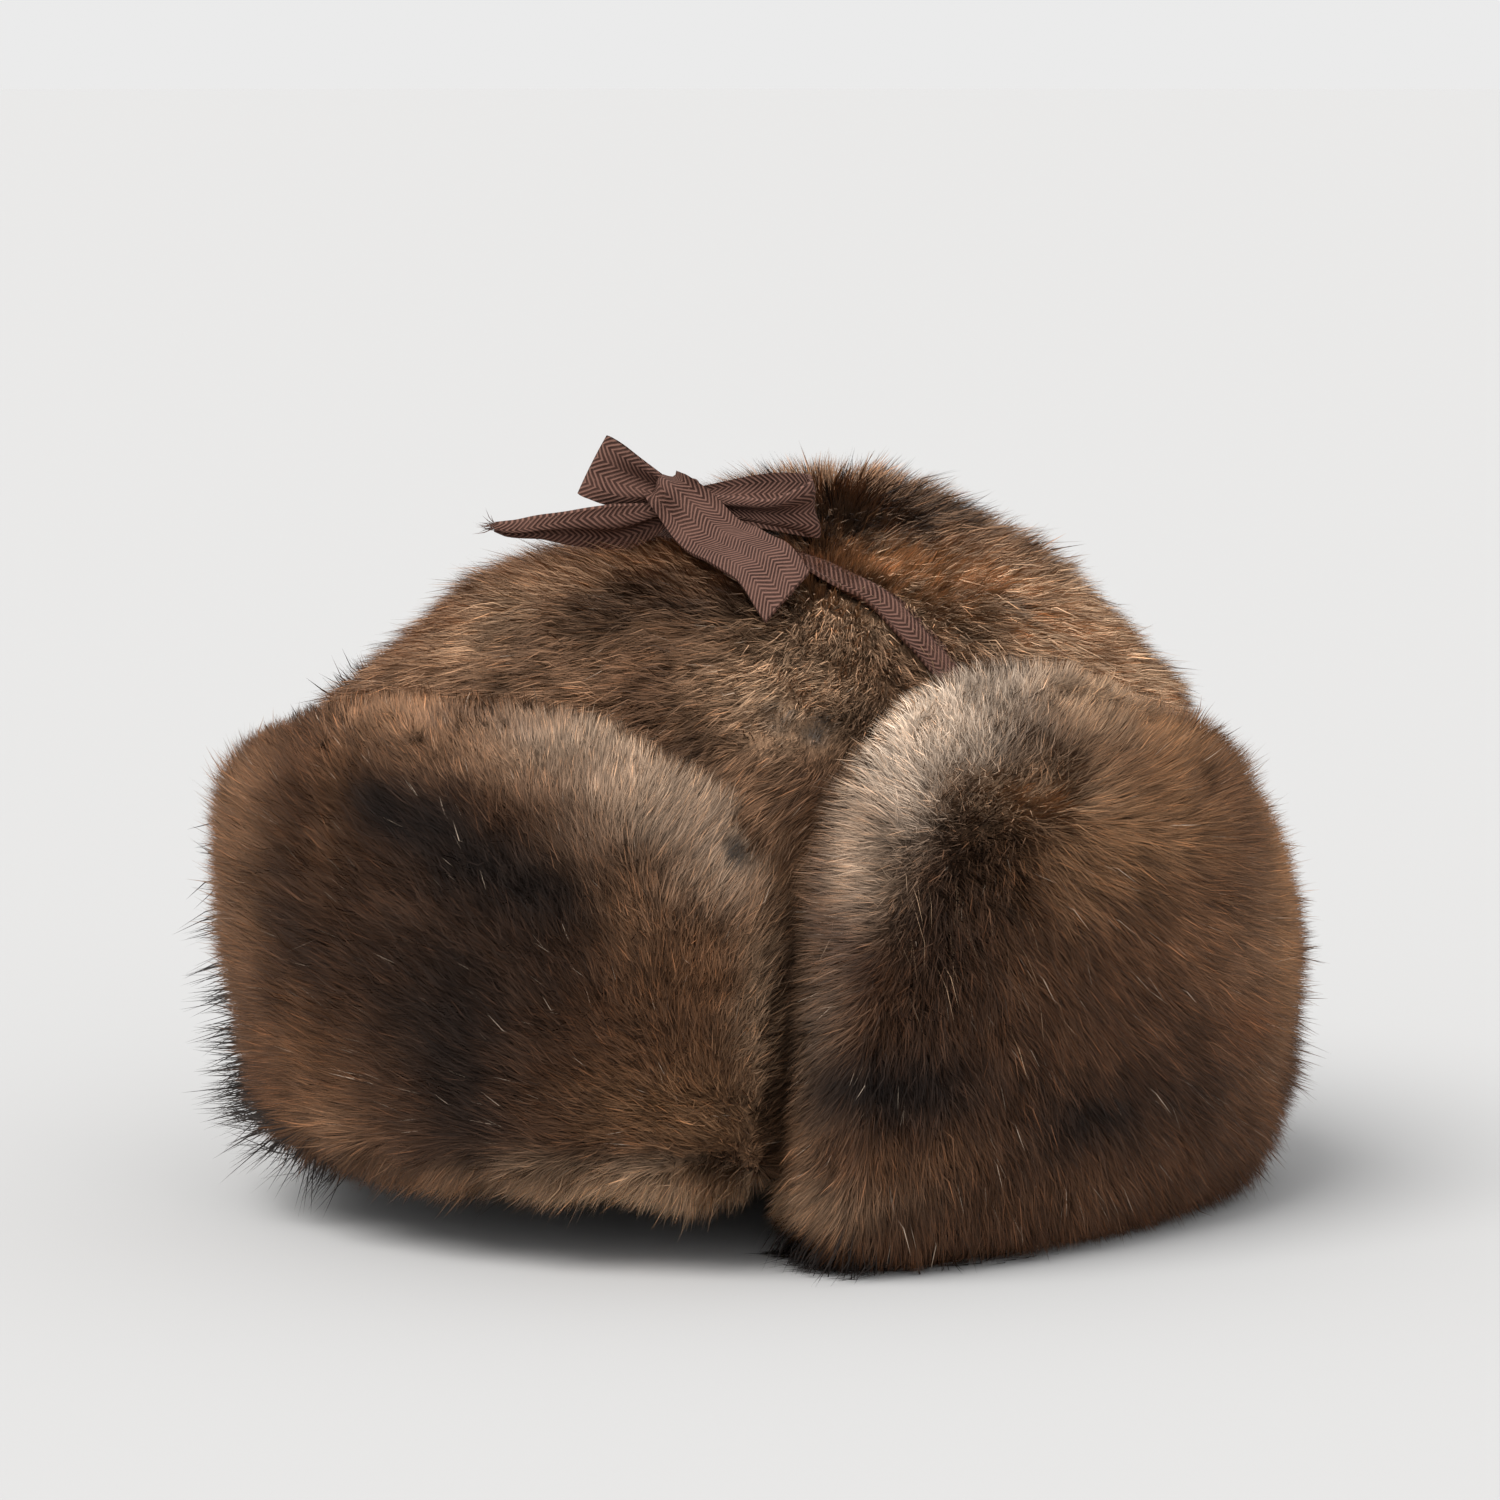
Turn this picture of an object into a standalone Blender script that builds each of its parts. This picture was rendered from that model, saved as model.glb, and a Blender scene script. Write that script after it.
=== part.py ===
"""Muskrat fur hat: a hollow crown, its pelt, a turned-up front flap, an ear and neck flap, and a tape bow.

Metres, +Z up. The wearer looks along -Y and +X is the wearer's left. The origin is on the surface that the
hat stands on, under the middle of the head.
"""

import math

import bmesh
import bpy
from mathutils import Vector

# Head opening and crown
HEAD_LENGTH = 0.200
HEAD_WIDTH = 0.164
WALL = 0.003
CROWN_FUR = 0.015
CROWN_TOP = 0.178
RIM_LIFT = 0.018
CROWN_HEM = 0.056

# Flaps
FLAP_REACH = 0.050
EAR_HEIGHT = 0.145
FRONT_HEIGHT = 0.137
FRONT_HALF_SPAN = math.radians(50.0)
FLAP_CLEFT = math.radians(0.9)
FLAP_LEAN_IN = 0.016
FLAP_LEAST = 0.008
FLAP_LEAN_START = 1.6
FLAP_ROUNDING = 0.04
FLAP_INNER_LEVELS = (0.86, 0.66)
FLAP_FOOT = 0.66
FRONT_FOOT = 0.30
FRONT_FOOT_RISE = 0.002

# Locks of fur
CROWN_LOCK_DEPTH = 0.003
FLAP_LOCK_DEPTH = 0.005
LOCK_LENGTH = 0.021
LOCK_WIDTH = 0.0164
LOCK_BASE = 0.10
LOCK_TIP = 0.78
LOCK_TIP_DROP = 0.12
LOCK_STAGGER = ((0.0, 1.0), (0.25, 0.3), (0.5, 1.0), (0.25, 0.3))
CROWN_LOCK_RUN = 1.5
CROWN_LOCK_SPAN = 0.94
SHARED_CROWN_ROW = 3

# Tape
TAPE_WIDTH = 0.016
TAPE_THICKNESS = 0.001
KNOT_WIDTH = 0.010
KNOT_HEIGHT = 0.012
KNOT_SQUARENESS = 0.7
KNOT_COLUMNS = 16
KNOT_RINGS = 6
STATIONS_PER_ROW = 3
BOW_FORWARD = 0.025
BOW_TURN = math.radians(42)

# Clearances
GAP = 0.0003
TAPE_LIFT = 0.0012
SHARP_EDGE = math.radians(40)

CROWN_HALF_LENGTH = HEAD_LENGTH / 2 + WALL + CROWN_FUR
CROWN_HALF_WIDTH = HEAD_WIDTH / 2 + WALL + CROWN_FUR

# Crown outline. height: share of the crown's rise. reach: share of its half length and half width.
# lean: how far the section's middle lies behind the head's, as a share of the half length.
CROWN_SECTIONS = (
    (0.000, 1.000, 0.000),
    (0.260, 1.015, 0.000),
    (0.480, 1.025, 0.000),
    (0.590, 1.020, 0.008),
    (0.675, 0.970, 0.028),
    (0.750, 0.840, 0.045),
    (0.831, 0.715, 0.060),
    (0.885, 0.600, 0.085),
    (0.910, 0.425, 0.175),
    (0.945, 0.310, 0.235),
    (0.981, 0.210, 0.262),
    (0.996, 0.100, 0.262),
    (1.000, 0.000, 0.262),
)
CROWN_HEIGHT, CROWN_REACH, CROWN_LEAN = range(3)

# Flap outline from its lower edge to its top. height: share of the flap's height there.
# front, ear: share of the reach there.
FLAP_PROFILE = (
    (0.00, 0.56, 0.68),
    (0.07, 0.68, 0.83),
    (0.17, 0.78, 0.92),
    (0.34, 0.88, 0.97),
    (0.54, 0.96, 1.00),
    (0.70, 1.00, 0.98),
    (0.82, 1.00, 0.88),
    (0.92, 0.93, 0.73),
    (1.00, 0.74, 0.52),
)
PROFILE_HEIGHT, PROFILE_FRONT, PROFILE_EAR = range(3)
FLAP_PROFILE_LENGTH = {PROFILE_FRONT: FRONT_HEIGHT, PROFILE_EAR: EAR_HEIGHT}

# Front flap by angle from the middle, as a share of its half span: minus is the wearer's right.
# bottom, top: shares of the front height. reach: share of the flaps' reach.
FRONT_OUTLINE = (
    (-1.00, 0.180, 0.66, 0.74),
    (-0.93, 0.150, 0.76, 0.84),
    (-0.78, 0.125, 0.85, 0.87),
    (-0.56, 0.110, 0.90, 0.87),
    (-0.28, 0.115, 0.96, 0.85),
    (0.00, 0.115, 1.00, 0.84),
    (0.30, 0.115, 1.00, 0.86),
    (0.56, 0.115, 0.98, 0.89),
    (0.78, 0.115, 0.89, 0.91),
    (0.93, 0.115, 0.76, 0.91),
    (1.00, 0.140, 0.66, 0.82),
)

# Ear and neck flap by angle from the front, in degrees. bottom, top: shares of the ear height.
# reach: share of the flaps' reach. The wearer's left comes first and the right last.
EAR_OUTLINE = (
    (50.9, 0.060, 0.57, 0.92),
    (53.0, 0.025, 0.66, 1.02),
    (57.0, 0.015, 0.79, 1.07),
    (62.0, 0.010, 0.90, 1.06),
    (68.0, 0.005, 0.96, 1.03),
    (78.0, 0.000, 1.00, 1.00),
    (90.0, 0.000, 0.97, 0.99),
    (103.0, 0.000, 0.91, 1.01),
    (116.0, 0.000, 0.83, 1.03),
    (130.0, 0.000, 0.70, 0.99),
    (150.0, 0.000, 0.64, 0.92),
    (180.0, 0.000, 0.63, 0.88),
    (210.0, 0.000, 0.64, 0.92),
    (230.0, 0.000, 0.70, 0.98),
    (244.0, 0.000, 0.82, 1.00),
    (257.0, 0.000, 0.89, 0.97),
    (270.0, 0.000, 0.93, 0.92),
    (282.0, 0.000, 0.91, 0.86),
    (292.0, 0.015, 0.82, 0.82),
    (298.0, 0.025, 0.73, 0.80),
    (303.0, 0.040, 0.65, 0.78),
    (307.0, 0.060, 0.58, 0.74),
    (309.1, 0.090, 0.52, 0.68),
)
OUTLINE_BOTTOM, OUTLINE_TOP, OUTLINE_REACH = range(1, 4)

# Bow pieces, as shares of the tape's width from the knot's middle: right, up and forward as the bow faces.
# width: share of the tape's width. The last three are the direction across the tape.
LOOP_RIGHT_SIDE = (
    (-0.33, 0.22, 0.07, 0.36, 0.45, 0.89, 0.0),
    (-0.88, 0.38, 0.15, 0.85, 0.45, 0.89, 0.0),
    (-1.26, 0.56, 0.12, 1.00, 0.45, 0.89, 0.0),
    (-1.38, 0.62, 0.00, 1.00, 0.45, 0.89, 0.0),
    (-1.26, 0.56, -0.12, 1.00, 0.45, 0.89, 0.0),
    (-0.88, 0.38, -0.15, 0.85, 0.45, 0.89, 0.0),
    (-0.33, 0.22, -0.07, 0.36, 0.45, 0.89, 0.0),
)
LOOP_LEFT_SIDE = (
    (0.37, 0.06, -0.10, 0.42, -0.10, 0.90, -0.40),
    (1.00, 0.06, 0.00, 0.75, -0.10, 0.95, -0.30),
    (1.60, 0.06, 0.34, 0.92, -0.10, 1.00, -0.20),
    (2.02, 0.02, 0.76, 0.96, -0.16, 1.00, 0.00),
    (1.90, 0.00, 1.04, 0.80, -0.05, 0.95, 0.30),
    (1.40, -0.04, 0.98, 0.50, 0.00, 0.80, 0.60),
    (0.95, -0.02, 0.68, 0.40, 0.00, 0.80, 0.60),
    (0.38, 0.02, 0.22, 0.34, 0.00, 0.90, 0.40),
)
TAIL_FRONT = (
    (0.08, -0.12, 0.38, 0.45, 0.80, 0.50, 0.00),
    (0.42, -0.36, 1.10, 0.85, 0.80, 0.40, -0.20),
    (0.82, -0.50, 1.90, 1.00, 0.78, 0.42, -0.35),
    (1.24, -0.68, 2.70, 1.00, 0.76, 0.45, -0.38),
    (1.60, -1.12, 3.40, 1.00, 0.76, 0.45, -0.38),
)
TAIL_RIGHT_SIDE = (
    (-0.345, -0.15, 0.06, 0.26, 0.10, 0.90, 0.30),
    (-0.95, -0.34, 0.16, 0.72, 0.06, 0.80, 0.60),
    (-1.50, -0.34, 0.16, 0.60, 0.06, 0.70, 0.70),
    (-2.10, -0.35, 0.06, 0.40, 0.20, 0.60, 0.80),
    (-2.55, -0.37, -0.02, 0.24, 0.20, 0.50, 0.80),
    (-2.90, -0.33, -0.08, 0.08, 0.20, 0.50, 0.80),
)

# Ties over the crown, as shares of the crown's half width and half length, from under the knot to the ear.
TIE_LEFT = (
    (0.030, -0.210),
    (0.200, -0.190),
    (0.400, -0.175),
    (0.620, -0.170),
    (0.840, -0.170),
)
TIE_RIGHT = (
    (-0.030, -0.185),
    (-0.200, -0.160),
    (-0.400, -0.120),
    (-0.620, -0.080),
    (-0.840, -0.060),
)
TIE_END_HEIGHT = 0.90


def clear_scene():
    for item in list(bpy.data.objects):
        bpy.data.objects.remove(item)


def material(name, colour, roughness):
    made = bpy.data.materials.new(name)
    made.use_nodes = True
    shader = made.node_tree.nodes["Principled BSDF"]
    shader.inputs["Base Color"].default_value = (*colour, 1)
    shader.inputs["Roughness"].default_value = roughness
    shader.inputs["Metallic"].default_value = 0
    return made


def slope(rows, column, i):
    """Slope of a column at row i against the first column."""
    low, high = max(i - 1, 0), min(i + 1, len(rows) - 1)
    return (rows[high][column] - rows[low][column]) / (rows[high][0] - rows[low][0])


def smooth(rows, column, at):
    """A column of a table, read smoothly at a value of the first column."""
    at = min(max(at, rows[0][0]), rows[-1][0])
    i = max(k for k in range(len(rows) - 1) if rows[k][0] <= at)
    step = rows[i + 1][0] - rows[i][0]
    u = (at - rows[i][0]) / step
    start, end = rows[i][column], rows[i + 1][column]
    leave, arrive = slope(rows, column, i) * step, slope(rows, column, i + 1) * step
    return (
        (2 * u**3 - 3 * u**2 + 1) * start
        + (u**3 - 2 * u**2 + u) * leave
        + (3 * u**2 - 2 * u**3) * end
        + (u**3 - u**2) * arrive
    )


def numbered(rows):
    """The table with the row's number as its first column."""
    return [(k, *row) for k, row in enumerate(rows)]


CROWN_ROWS = numbered(CROWN_SECTIONS)
LAST_CROWN_ROW = len(CROWN_ROWS) - 1


def crown_surface(angle, row):
    """Point on the crown's outer form."""
    reach = smooth(CROWN_ROWS, CROWN_REACH + 1, row)
    lean = smooth(CROWN_ROWS, CROWN_LEAN + 1, row)
    rise = smooth(CROWN_ROWS, CROWN_HEIGHT + 1, row)
    return Vector(
        (
            CROWN_HALF_WIDTH * reach * math.sin(angle),
            CROWN_HALF_LENGTH * (lean - reach * math.cos(angle)),
            RIM_LIFT + (CROWN_TOP - RIM_LIFT) * rise,
        )
    )


def crown_normal(angle, row):
    """Outward normal of the crown's form, from small steps around and along it."""
    step = 0.01
    low, high = max(row - step, 0), min(row + step, LAST_CROWN_ROW - step)
    if high <= low:
        return Vector((0, 0, 1))
    around = crown_surface(angle + step, row - step) - crown_surface(angle - step, row - step)
    along = crown_surface(angle, high) - crown_surface(angle, low)
    return around.cross(along).normalized()


def crown_point(angle, row, inset=0.0):
    """Point this far inside the crown's outer form."""
    return crown_surface(angle, row) - crown_normal(angle, row) * inset


def crown_row_at_height(height):
    """Row of the crown's outer form at this height."""
    low, high = 0.0, float(LAST_CROWN_ROW)
    for _ in range(40):
        middle = (low + high) / 2
        if crown_surface(0, middle).z < height:
            low = middle
        else:
            high = middle
    return low


def crown_over(x, y):
    """Point of the crown's outer form above this place, and the normal there."""
    low, high = 0.0, float(LAST_CROWN_ROW)
    for _ in range(40):
        middle = (low + high) / 2
        lean = smooth(CROWN_ROWS, CROWN_LEAN + 1, middle)
        reach = smooth(CROWN_ROWS, CROWN_REACH + 1, middle)
        place = math.hypot(x / CROWN_HALF_WIDTH, y / CROWN_HALF_LENGTH - lean)
        if place < reach:
            low = middle
        else:
            high = middle
    lean = smooth(CROWN_ROWS, CROWN_LEAN + 1, low)
    angle = math.atan2(x / CROWN_HALF_WIDTH, lean - y / CROWN_HALF_LENGTH)
    return crown_surface(angle, low), crown_normal(angle, low)


def fur_side(height):
    """How far the crown's fur stands out from the head oval at this height."""
    reach = smooth(CROWN_ROWS, CROWN_REACH + 1, crown_row_at_height(height))
    return WALL + CROWN_FUR + CROWN_HALF_LENGTH * (reach - 1)


WIDEST_CROWN_ROW = max(range(len(CROWN_SECTIONS)), key=lambda row: CROWN_SECTIONS[row][CROWN_REACH])
SHOULDER_HEIGHT = crown_surface(0, WIDEST_CROWN_ROW + FLAP_LEAN_START).z
FLAP_SEAT = fur_side(crown_surface(0, WIDEST_CROWN_ROW).z) + CROWN_LOCK_DEPTH + 3 * GAP


def flap_seat(height):
    """How far the flap's inner side stands out from the head oval: it leans in above the crown's shoulder."""
    above = max(0.0, height - SHOULDER_HEIGHT) / (EAR_HEIGHT - SHOULDER_HEIGHT)
    return FLAP_SEAT - FLAP_LEAN_IN * above


def out_from_head(angle, out, height):
    """Point this far out from the head oval, at an angle from the front."""
    return Vector(
        (
            (HEAD_WIDTH / 2 + out) * math.sin(angle),
            -(HEAD_LENGTH / 2 + out) * math.cos(angle),
            height,
        )
    )


def solid(name, loops, finish, poles=(None, None)):
    """A closed mesh through loops of equal length, ending in a pole or a flat cap at each end."""
    points = [point for loop in loops for point in loop]
    count = len(loops[0])
    faces = []
    for k in range(len(loops) - 1):
        for i in range(count):
            j = (i + 1) % count
            faces.append((k * count + i, k * count + j, (k + 1) * count + j, (k + 1) * count + i))
    last = (len(loops) - 1) * count
    if poles[0] is None:
        faces.append(tuple(reversed(range(count))))
    else:
        points.append(poles[0])
        faces += [((i + 1) % count, i, len(points) - 1) for i in range(count)]
    if poles[1] is None:
        faces.append(tuple(range(last, last + count)))
    else:
        points.append(poles[1])
        faces += [(last + i, last + (i + 1) % count, len(points) - 1) for i in range(count)]
    mesh = bpy.data.meshes.new(name)
    mesh.from_pydata([tuple(point) for point in points], [], faces)
    outward = bmesh.new()
    outward.from_mesh(mesh)
    bmesh.ops.recalc_face_normals(outward, faces=outward.faces)
    outward.to_mesh(mesh)
    outward.free()
    mesh.shade_smooth()
    mesh.set_sharp_from_angle(angle=SHARP_EDGE)
    mesh.materials.append(finish)
    made = bpy.data.objects.new(name, mesh)
    bpy.context.scene.collection.objects.link(made)
    return made


def lock_points(length, flow, column):
    """Shares of the way along at which a column of locks has its bases and tips, with the lift there.

    A lock is two columns wide. Neighbouring locks are staggered by half a length, with a valley between.
    """
    count = max(2, round(length / LOCK_LENGTH))
    stagger, fullness = LOCK_STAGGER[column % len(LOCK_STAGGER)]
    points = []
    for k in range(count):
        pair = [(LOCK_BASE, 0.0), (LOCK_TIP + LOCK_TIP_DROP * fullness, fullness)]
        if flow < 0:
            pair = [(1 - at, lift) for at, lift in reversed(pair)]
        points += [((k + stagger + at) / (count + 0.5), lift) for at, lift in pair]
    return points


def crown_columns():
    around = math.pi * (CROWN_HALF_LENGTH + CROWN_HALF_WIDTH)
    return 4 * round(around / LOCK_WIDTH / 2)


def crown_ring(row, inset, columns):
    return [crown_point(2 * math.pi * i / columns, row, inset) for i in range(columns)]


def crown_rows_from(start):
    """Rows of the crown's wall from a starting row up, shared with the inner side of its fur."""
    return [start, *range(SHARED_CROWN_ROW, LAST_CROWN_ROW)]


def crown_wall(finish):
    columns = crown_columns() // 2
    rows = [0] + crown_rows_from(crown_row_at_height(CROWN_HEM))
    outside = [crown_ring(row, CROWN_FUR, columns) for row in reversed(rows)]
    inside = [crown_ring(row, CROWN_FUR + WALL, columns) for row in rows]
    top = crown_surface(0, LAST_CROWN_ROW)
    poles = (top - Vector((0, 0, CROWN_FUR)), top - Vector((0, 0, CROWN_FUR + WALL)))
    return solid("crown_wall", outside + inside, finish, poles)


def crown_fur(finish):
    columns = crown_columns()
    hem = crown_row_at_height(CROWN_HEM)
    span = CROWN_LOCK_SPAN * (LAST_CROWN_ROW - hem)
    locks = [lock_points(CROWN_HALF_LENGTH * CROWN_LOCK_RUN, -1, i) for i in range(columns)]
    rings = [crown_ring(hem, 0, columns)]
    for k in range(len(locks[0])):
        ring = []
        for i in range(columns):
            share, lift = locks[i][k]
            angle = 2 * math.pi * i / columns
            ring.append(crown_point(angle, hem + span * share, -CROWN_LOCK_DEPTH * lift))
        rings.append(ring)
    inside = [crown_ring(row, CROWN_FUR - GAP, columns) for row in crown_rows_from(hem)]
    top = crown_surface(0, LAST_CROWN_ROW)
    poles = (top, top - Vector((0, 0, CROWN_FUR - GAP)))
    return solid("crown_fur", list(reversed(rings)) + inside, finish, poles)


def flap_section(angle, bottom, top, reach, column, profile, foot, flow):
    """Closed outline of a flap, in an upright plane at this angle: out from the head oval, and height."""
    height = top - bottom
    outline = []
    for share, lift in lock_points(FLAP_PROFILE_LENGTH[profile], flow, column):
        level = bottom + height * share
        out = reach * smooth(FLAP_PROFILE, profile, share) + FLAP_LOCK_DEPTH * (lift - 0.5)
        outline.append((max(out, flap_seat(level) + FLAP_LEAST), level))
    seat_top = top - FLAP_ROUNDING * height
    ridge = max(reach * smooth(FLAP_PROFILE, profile, 1.0), flap_seat(top) + FLAP_LEAST)
    outline.append((ridge, top))
    outline.append((flap_seat(seat_top) + FLAP_LEAST / 4, seat_top))
    for share in FLAP_INNER_LEVELS:
        level = max(bottom + height * share, CROWN_HEM + 2 * GAP)
        outline.append((flap_seat(level), level))
    hem = CROWN_HEM - GAP
    wall_side = fur_side(CROWN_HEM) - CROWN_FUR + GAP
    outline.append((flap_seat(hem), hem))
    outline.append((wall_side, hem))
    if foot:
        under = RIM_LIFT - GAP
        outline += [(wall_side, under), (0, under), (0, bottom), (reach * FLAP_FOOT, bottom)]
    else:
        outline += [(wall_side, bottom + FRONT_FOOT_RISE), (reach * FRONT_FOOT, bottom)]
    return [out_from_head(angle, out, level) for out, level in outline]


def column_angles(start, end, radius):
    count = 4 * max(2, round(abs(end - start) * radius / LOCK_WIDTH / 2))
    return [start + (end - start) * k / count for k in range(count + 1)]


def front_flap(finish):
    radius = HEAD_WIDTH / 2 + FLAP_REACH
    loops = []
    for column, angle in enumerate(column_angles(-FRONT_HALF_SPAN, FRONT_HALF_SPAN, radius)):
        share = angle / FRONT_HALF_SPAN
        bottom, top, reach = (
            smooth(FRONT_OUTLINE, OUTLINE_BOTTOM, share) * FRONT_HEIGHT,
            smooth(FRONT_OUTLINE, OUTLINE_TOP, share) * FRONT_HEIGHT,
            smooth(FRONT_OUTLINE, OUTLINE_REACH, share) * FLAP_REACH,
        )
        loops.append(flap_section(angle, bottom, top, reach, column, PROFILE_FRONT, False, 1))
    return solid("front_flap", loops, finish)


def ear_neck_flap(finish):
    radius = HEAD_WIDTH / 2 + FLAP_REACH
    start = FRONT_HALF_SPAN + FLAP_CLEFT
    loops = []
    for column, angle in enumerate(column_angles(start, 2 * math.pi - start, radius)):
        place = math.degrees(angle)
        bottom, top, reach = (
            max(0.0, smooth(EAR_OUTLINE, OUTLINE_BOTTOM, place)) * EAR_HEIGHT,
            smooth(EAR_OUTLINE, OUTLINE_TOP, place) * EAR_HEIGHT,
            smooth(EAR_OUTLINE, OUTLINE_REACH, place) * FLAP_REACH,
        )
        loops.append(flap_section(angle, bottom, top, reach, column, PROFILE_EAR, True, -1))
    return solid("ear_neck_flap", loops, finish)


def ribbon(name, stations, finish):
    """Tape through stations of middle, direction across and width."""
    loops = []
    for k, (middle, across, width) in enumerate(stations):
        ahead = stations[min(k + 1, len(stations) - 1)][0] - stations[max(k - 1, 0)][0]
        across = (across - ahead * across.dot(ahead) / ahead.length_squared).normalized()
        face = ahead.cross(across).normalized()
        side, half = across * width / 2, face * TAPE_THICKNESS / 2
        loops.append([middle - side - half, middle + side - half, middle + side + half, middle - side + half])
    return solid(name, loops, finish)


def knot_middle():
    seat, _ = crown_over(0, -BOW_FORWARD)
    return seat + Vector((0, 0, CROWN_LOCK_DEPTH + TAPE_LIFT + TAPE_THICKNESS + KNOT_HEIGHT / 2))


def bow_axes():
    right = Vector((math.cos(BOW_TURN), math.sin(BOW_TURN), 0))
    forward = Vector((math.sin(BOW_TURN), -math.cos(BOW_TURN), 0))
    return right, Vector((0, 0, 1)), forward


def bow_piece(name, table, finish):
    """A loop or tail of the bow, from its table of shares of the tape's width."""
    right, up, forward = bow_axes()
    rows = numbered(table)
    stations = []
    for k in range(STATIONS_PER_ROW * (len(rows) - 1) + 1):
        at = k / STATIONS_PER_ROW
        r, u, f, width, ar, au, af = (smooth(rows, column, at) for column in range(1, 8))
        middle = knot_middle() + (right * r + up * u + forward * f) * TAPE_WIDTH
        across = right * ar + up * au + forward * af
        stations.append((middle, across, width * TAPE_WIDTH))
    return ribbon(name, stations, finish)


def tie(name, table, side, finish):
    """Tape that lies on the crown from under the knot, and ends at the ear flap's inner side."""
    rows = numbered(table)
    places = []
    for k in range(STATIONS_PER_ROW * (len(rows) - 1) + 1):
        x, y = (smooth(rows, column, k / STATIONS_PER_ROW) for column in (1, 2))
        seat, normal = crown_over(x * CROWN_HALF_WIDTH, y * CROWN_HALF_LENGTH)
        places.append((seat + normal * (CROWN_LOCK_DEPTH + TAPE_LIFT), normal))
    level = EAR_HEIGHT * TIE_END_HEIGHT
    last, normal = places[-1]
    out = flap_seat(level) - 2 * TAPE_THICKNESS
    y = last.y
    x = side * (HEAD_WIDTH / 2 + out) * math.sqrt(1 - (y / (HEAD_LENGTH / 2 + out)) ** 2)
    places.append((Vector((x, y, level)), normal))
    stations = []
    for k, (middle, normal) in enumerate(places):
        ahead = places[min(k + 1, len(places) - 1)][0] - places[max(k - 1, 0)][0]
        stations.append((middle, normal.cross(ahead), TAPE_WIDTH))
    return ribbon(name, stations, finish)


def bow_knot(finish):
    """The wrapped knot: a rounded block, turned as the bow faces."""
    right, up, forward = bow_axes()
    middle = knot_middle()
    half = (KNOT_WIDTH / 2, KNOT_HEIGHT / 2, KNOT_WIDTH / 2)
    loops = []
    for k in range(1, KNOT_RINGS):
        tilt = math.pi * k / KNOT_RINGS
        ring = []
        for i in range(KNOT_COLUMNS):
            turn = 2 * math.pi * i / KNOT_COLUMNS
            parts = (math.cos(turn) * math.sin(tilt), math.cos(tilt), math.sin(turn) * math.sin(tilt))
            parts = [math.copysign(abs(value) ** KNOT_SQUARENESS, value) for value in parts]
            offset = right * parts[0] * half[0] + up * parts[1] * half[1] + forward * parts[2] * half[2]
            ring.append(middle + offset)
        loops.append(ring)
    poles = (middle + up * half[1], middle - up * half[1])
    return solid("bow_knot", loops, finish, poles)


def main():
    clear_scene()
    hide = material("sueded_hide", (0.23, 0.15, 0.10), 0.8)
    crown_pelt = material("crown_pelt", (0.17, 0.09, 0.045), 0.75)
    flap_pelt = material("flap_pelt", (0.11, 0.055, 0.03), 0.75)
    tape = material("herringbone_tape", (0.13, 0.07, 0.06), 0.85)
    crown_wall(hide)
    crown_fur(crown_pelt)
    front_flap(flap_pelt)
    ear_neck_flap(flap_pelt)
    bow_knot(tape)
    bow_piece("bow_loop_right", LOOP_RIGHT_SIDE, tape)
    bow_piece("bow_loop_left", LOOP_LEFT_SIDE, tape)
    bow_piece("bow_tail_front", TAIL_FRONT, tape)
    bow_piece("bow_tail_right", TAIL_RIGHT_SIDE, tape)
    tie("ear_tie_left", TIE_LEFT, 1, tape)
    tie("ear_tie_right", TIE_RIGHT, -1, tape)


main()
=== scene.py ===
import math

import bpy
import numpy as np
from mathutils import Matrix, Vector
from mathutils.bvhtree import BVHTree
from mathutils.kdtree import KDTree


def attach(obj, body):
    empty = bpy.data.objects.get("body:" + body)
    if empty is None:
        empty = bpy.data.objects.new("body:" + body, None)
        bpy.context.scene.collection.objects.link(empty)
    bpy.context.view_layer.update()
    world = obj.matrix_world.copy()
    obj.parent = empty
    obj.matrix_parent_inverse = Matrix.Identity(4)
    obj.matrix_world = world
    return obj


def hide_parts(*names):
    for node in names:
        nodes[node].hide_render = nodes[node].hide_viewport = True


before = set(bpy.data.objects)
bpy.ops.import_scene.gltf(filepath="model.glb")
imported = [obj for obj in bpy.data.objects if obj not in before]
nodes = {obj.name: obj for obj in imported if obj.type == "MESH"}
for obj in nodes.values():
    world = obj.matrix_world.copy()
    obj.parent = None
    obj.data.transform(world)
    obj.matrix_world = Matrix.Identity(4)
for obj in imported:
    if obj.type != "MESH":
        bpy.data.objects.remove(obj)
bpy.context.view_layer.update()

# Tones as sRGB
tones = {
    "straw": (0.77, 0.635, 0.51),
    "cream": (0.80, 0.72, 0.64),
    "taupe": (0.66, 0.56, 0.47),
    "gold": (0.61, 0.455, 0.325),
    "tan": (0.53, 0.40, 0.30),
    "mid": (0.45, 0.32, 0.225),
    "russet": (0.45, 0.285, 0.18),
    "brown": (0.335, 0.23, 0.16),
    "dark": (0.215, 0.155, 0.118),
    "black": (0.14, 0.11, 0.095),
    "slate": (0.27, 0.26, 0.25),
}


# sRGB shares as linear light.
def linear(values):
    values = np.asarray(values, float)
    return np.where(values <= 0.04045, values / 12.92, ((values + 0.055) / 1.055) ** 2.4)


# Table reading, as the part's source does it
def slopeAt(rows, column, i):
    low, high = max(i - 1, 0), min(i + 1, len(rows) - 1)
    return (rows[high][column] - rows[low][column]) / (rows[high][0] - rows[low][0])


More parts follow.
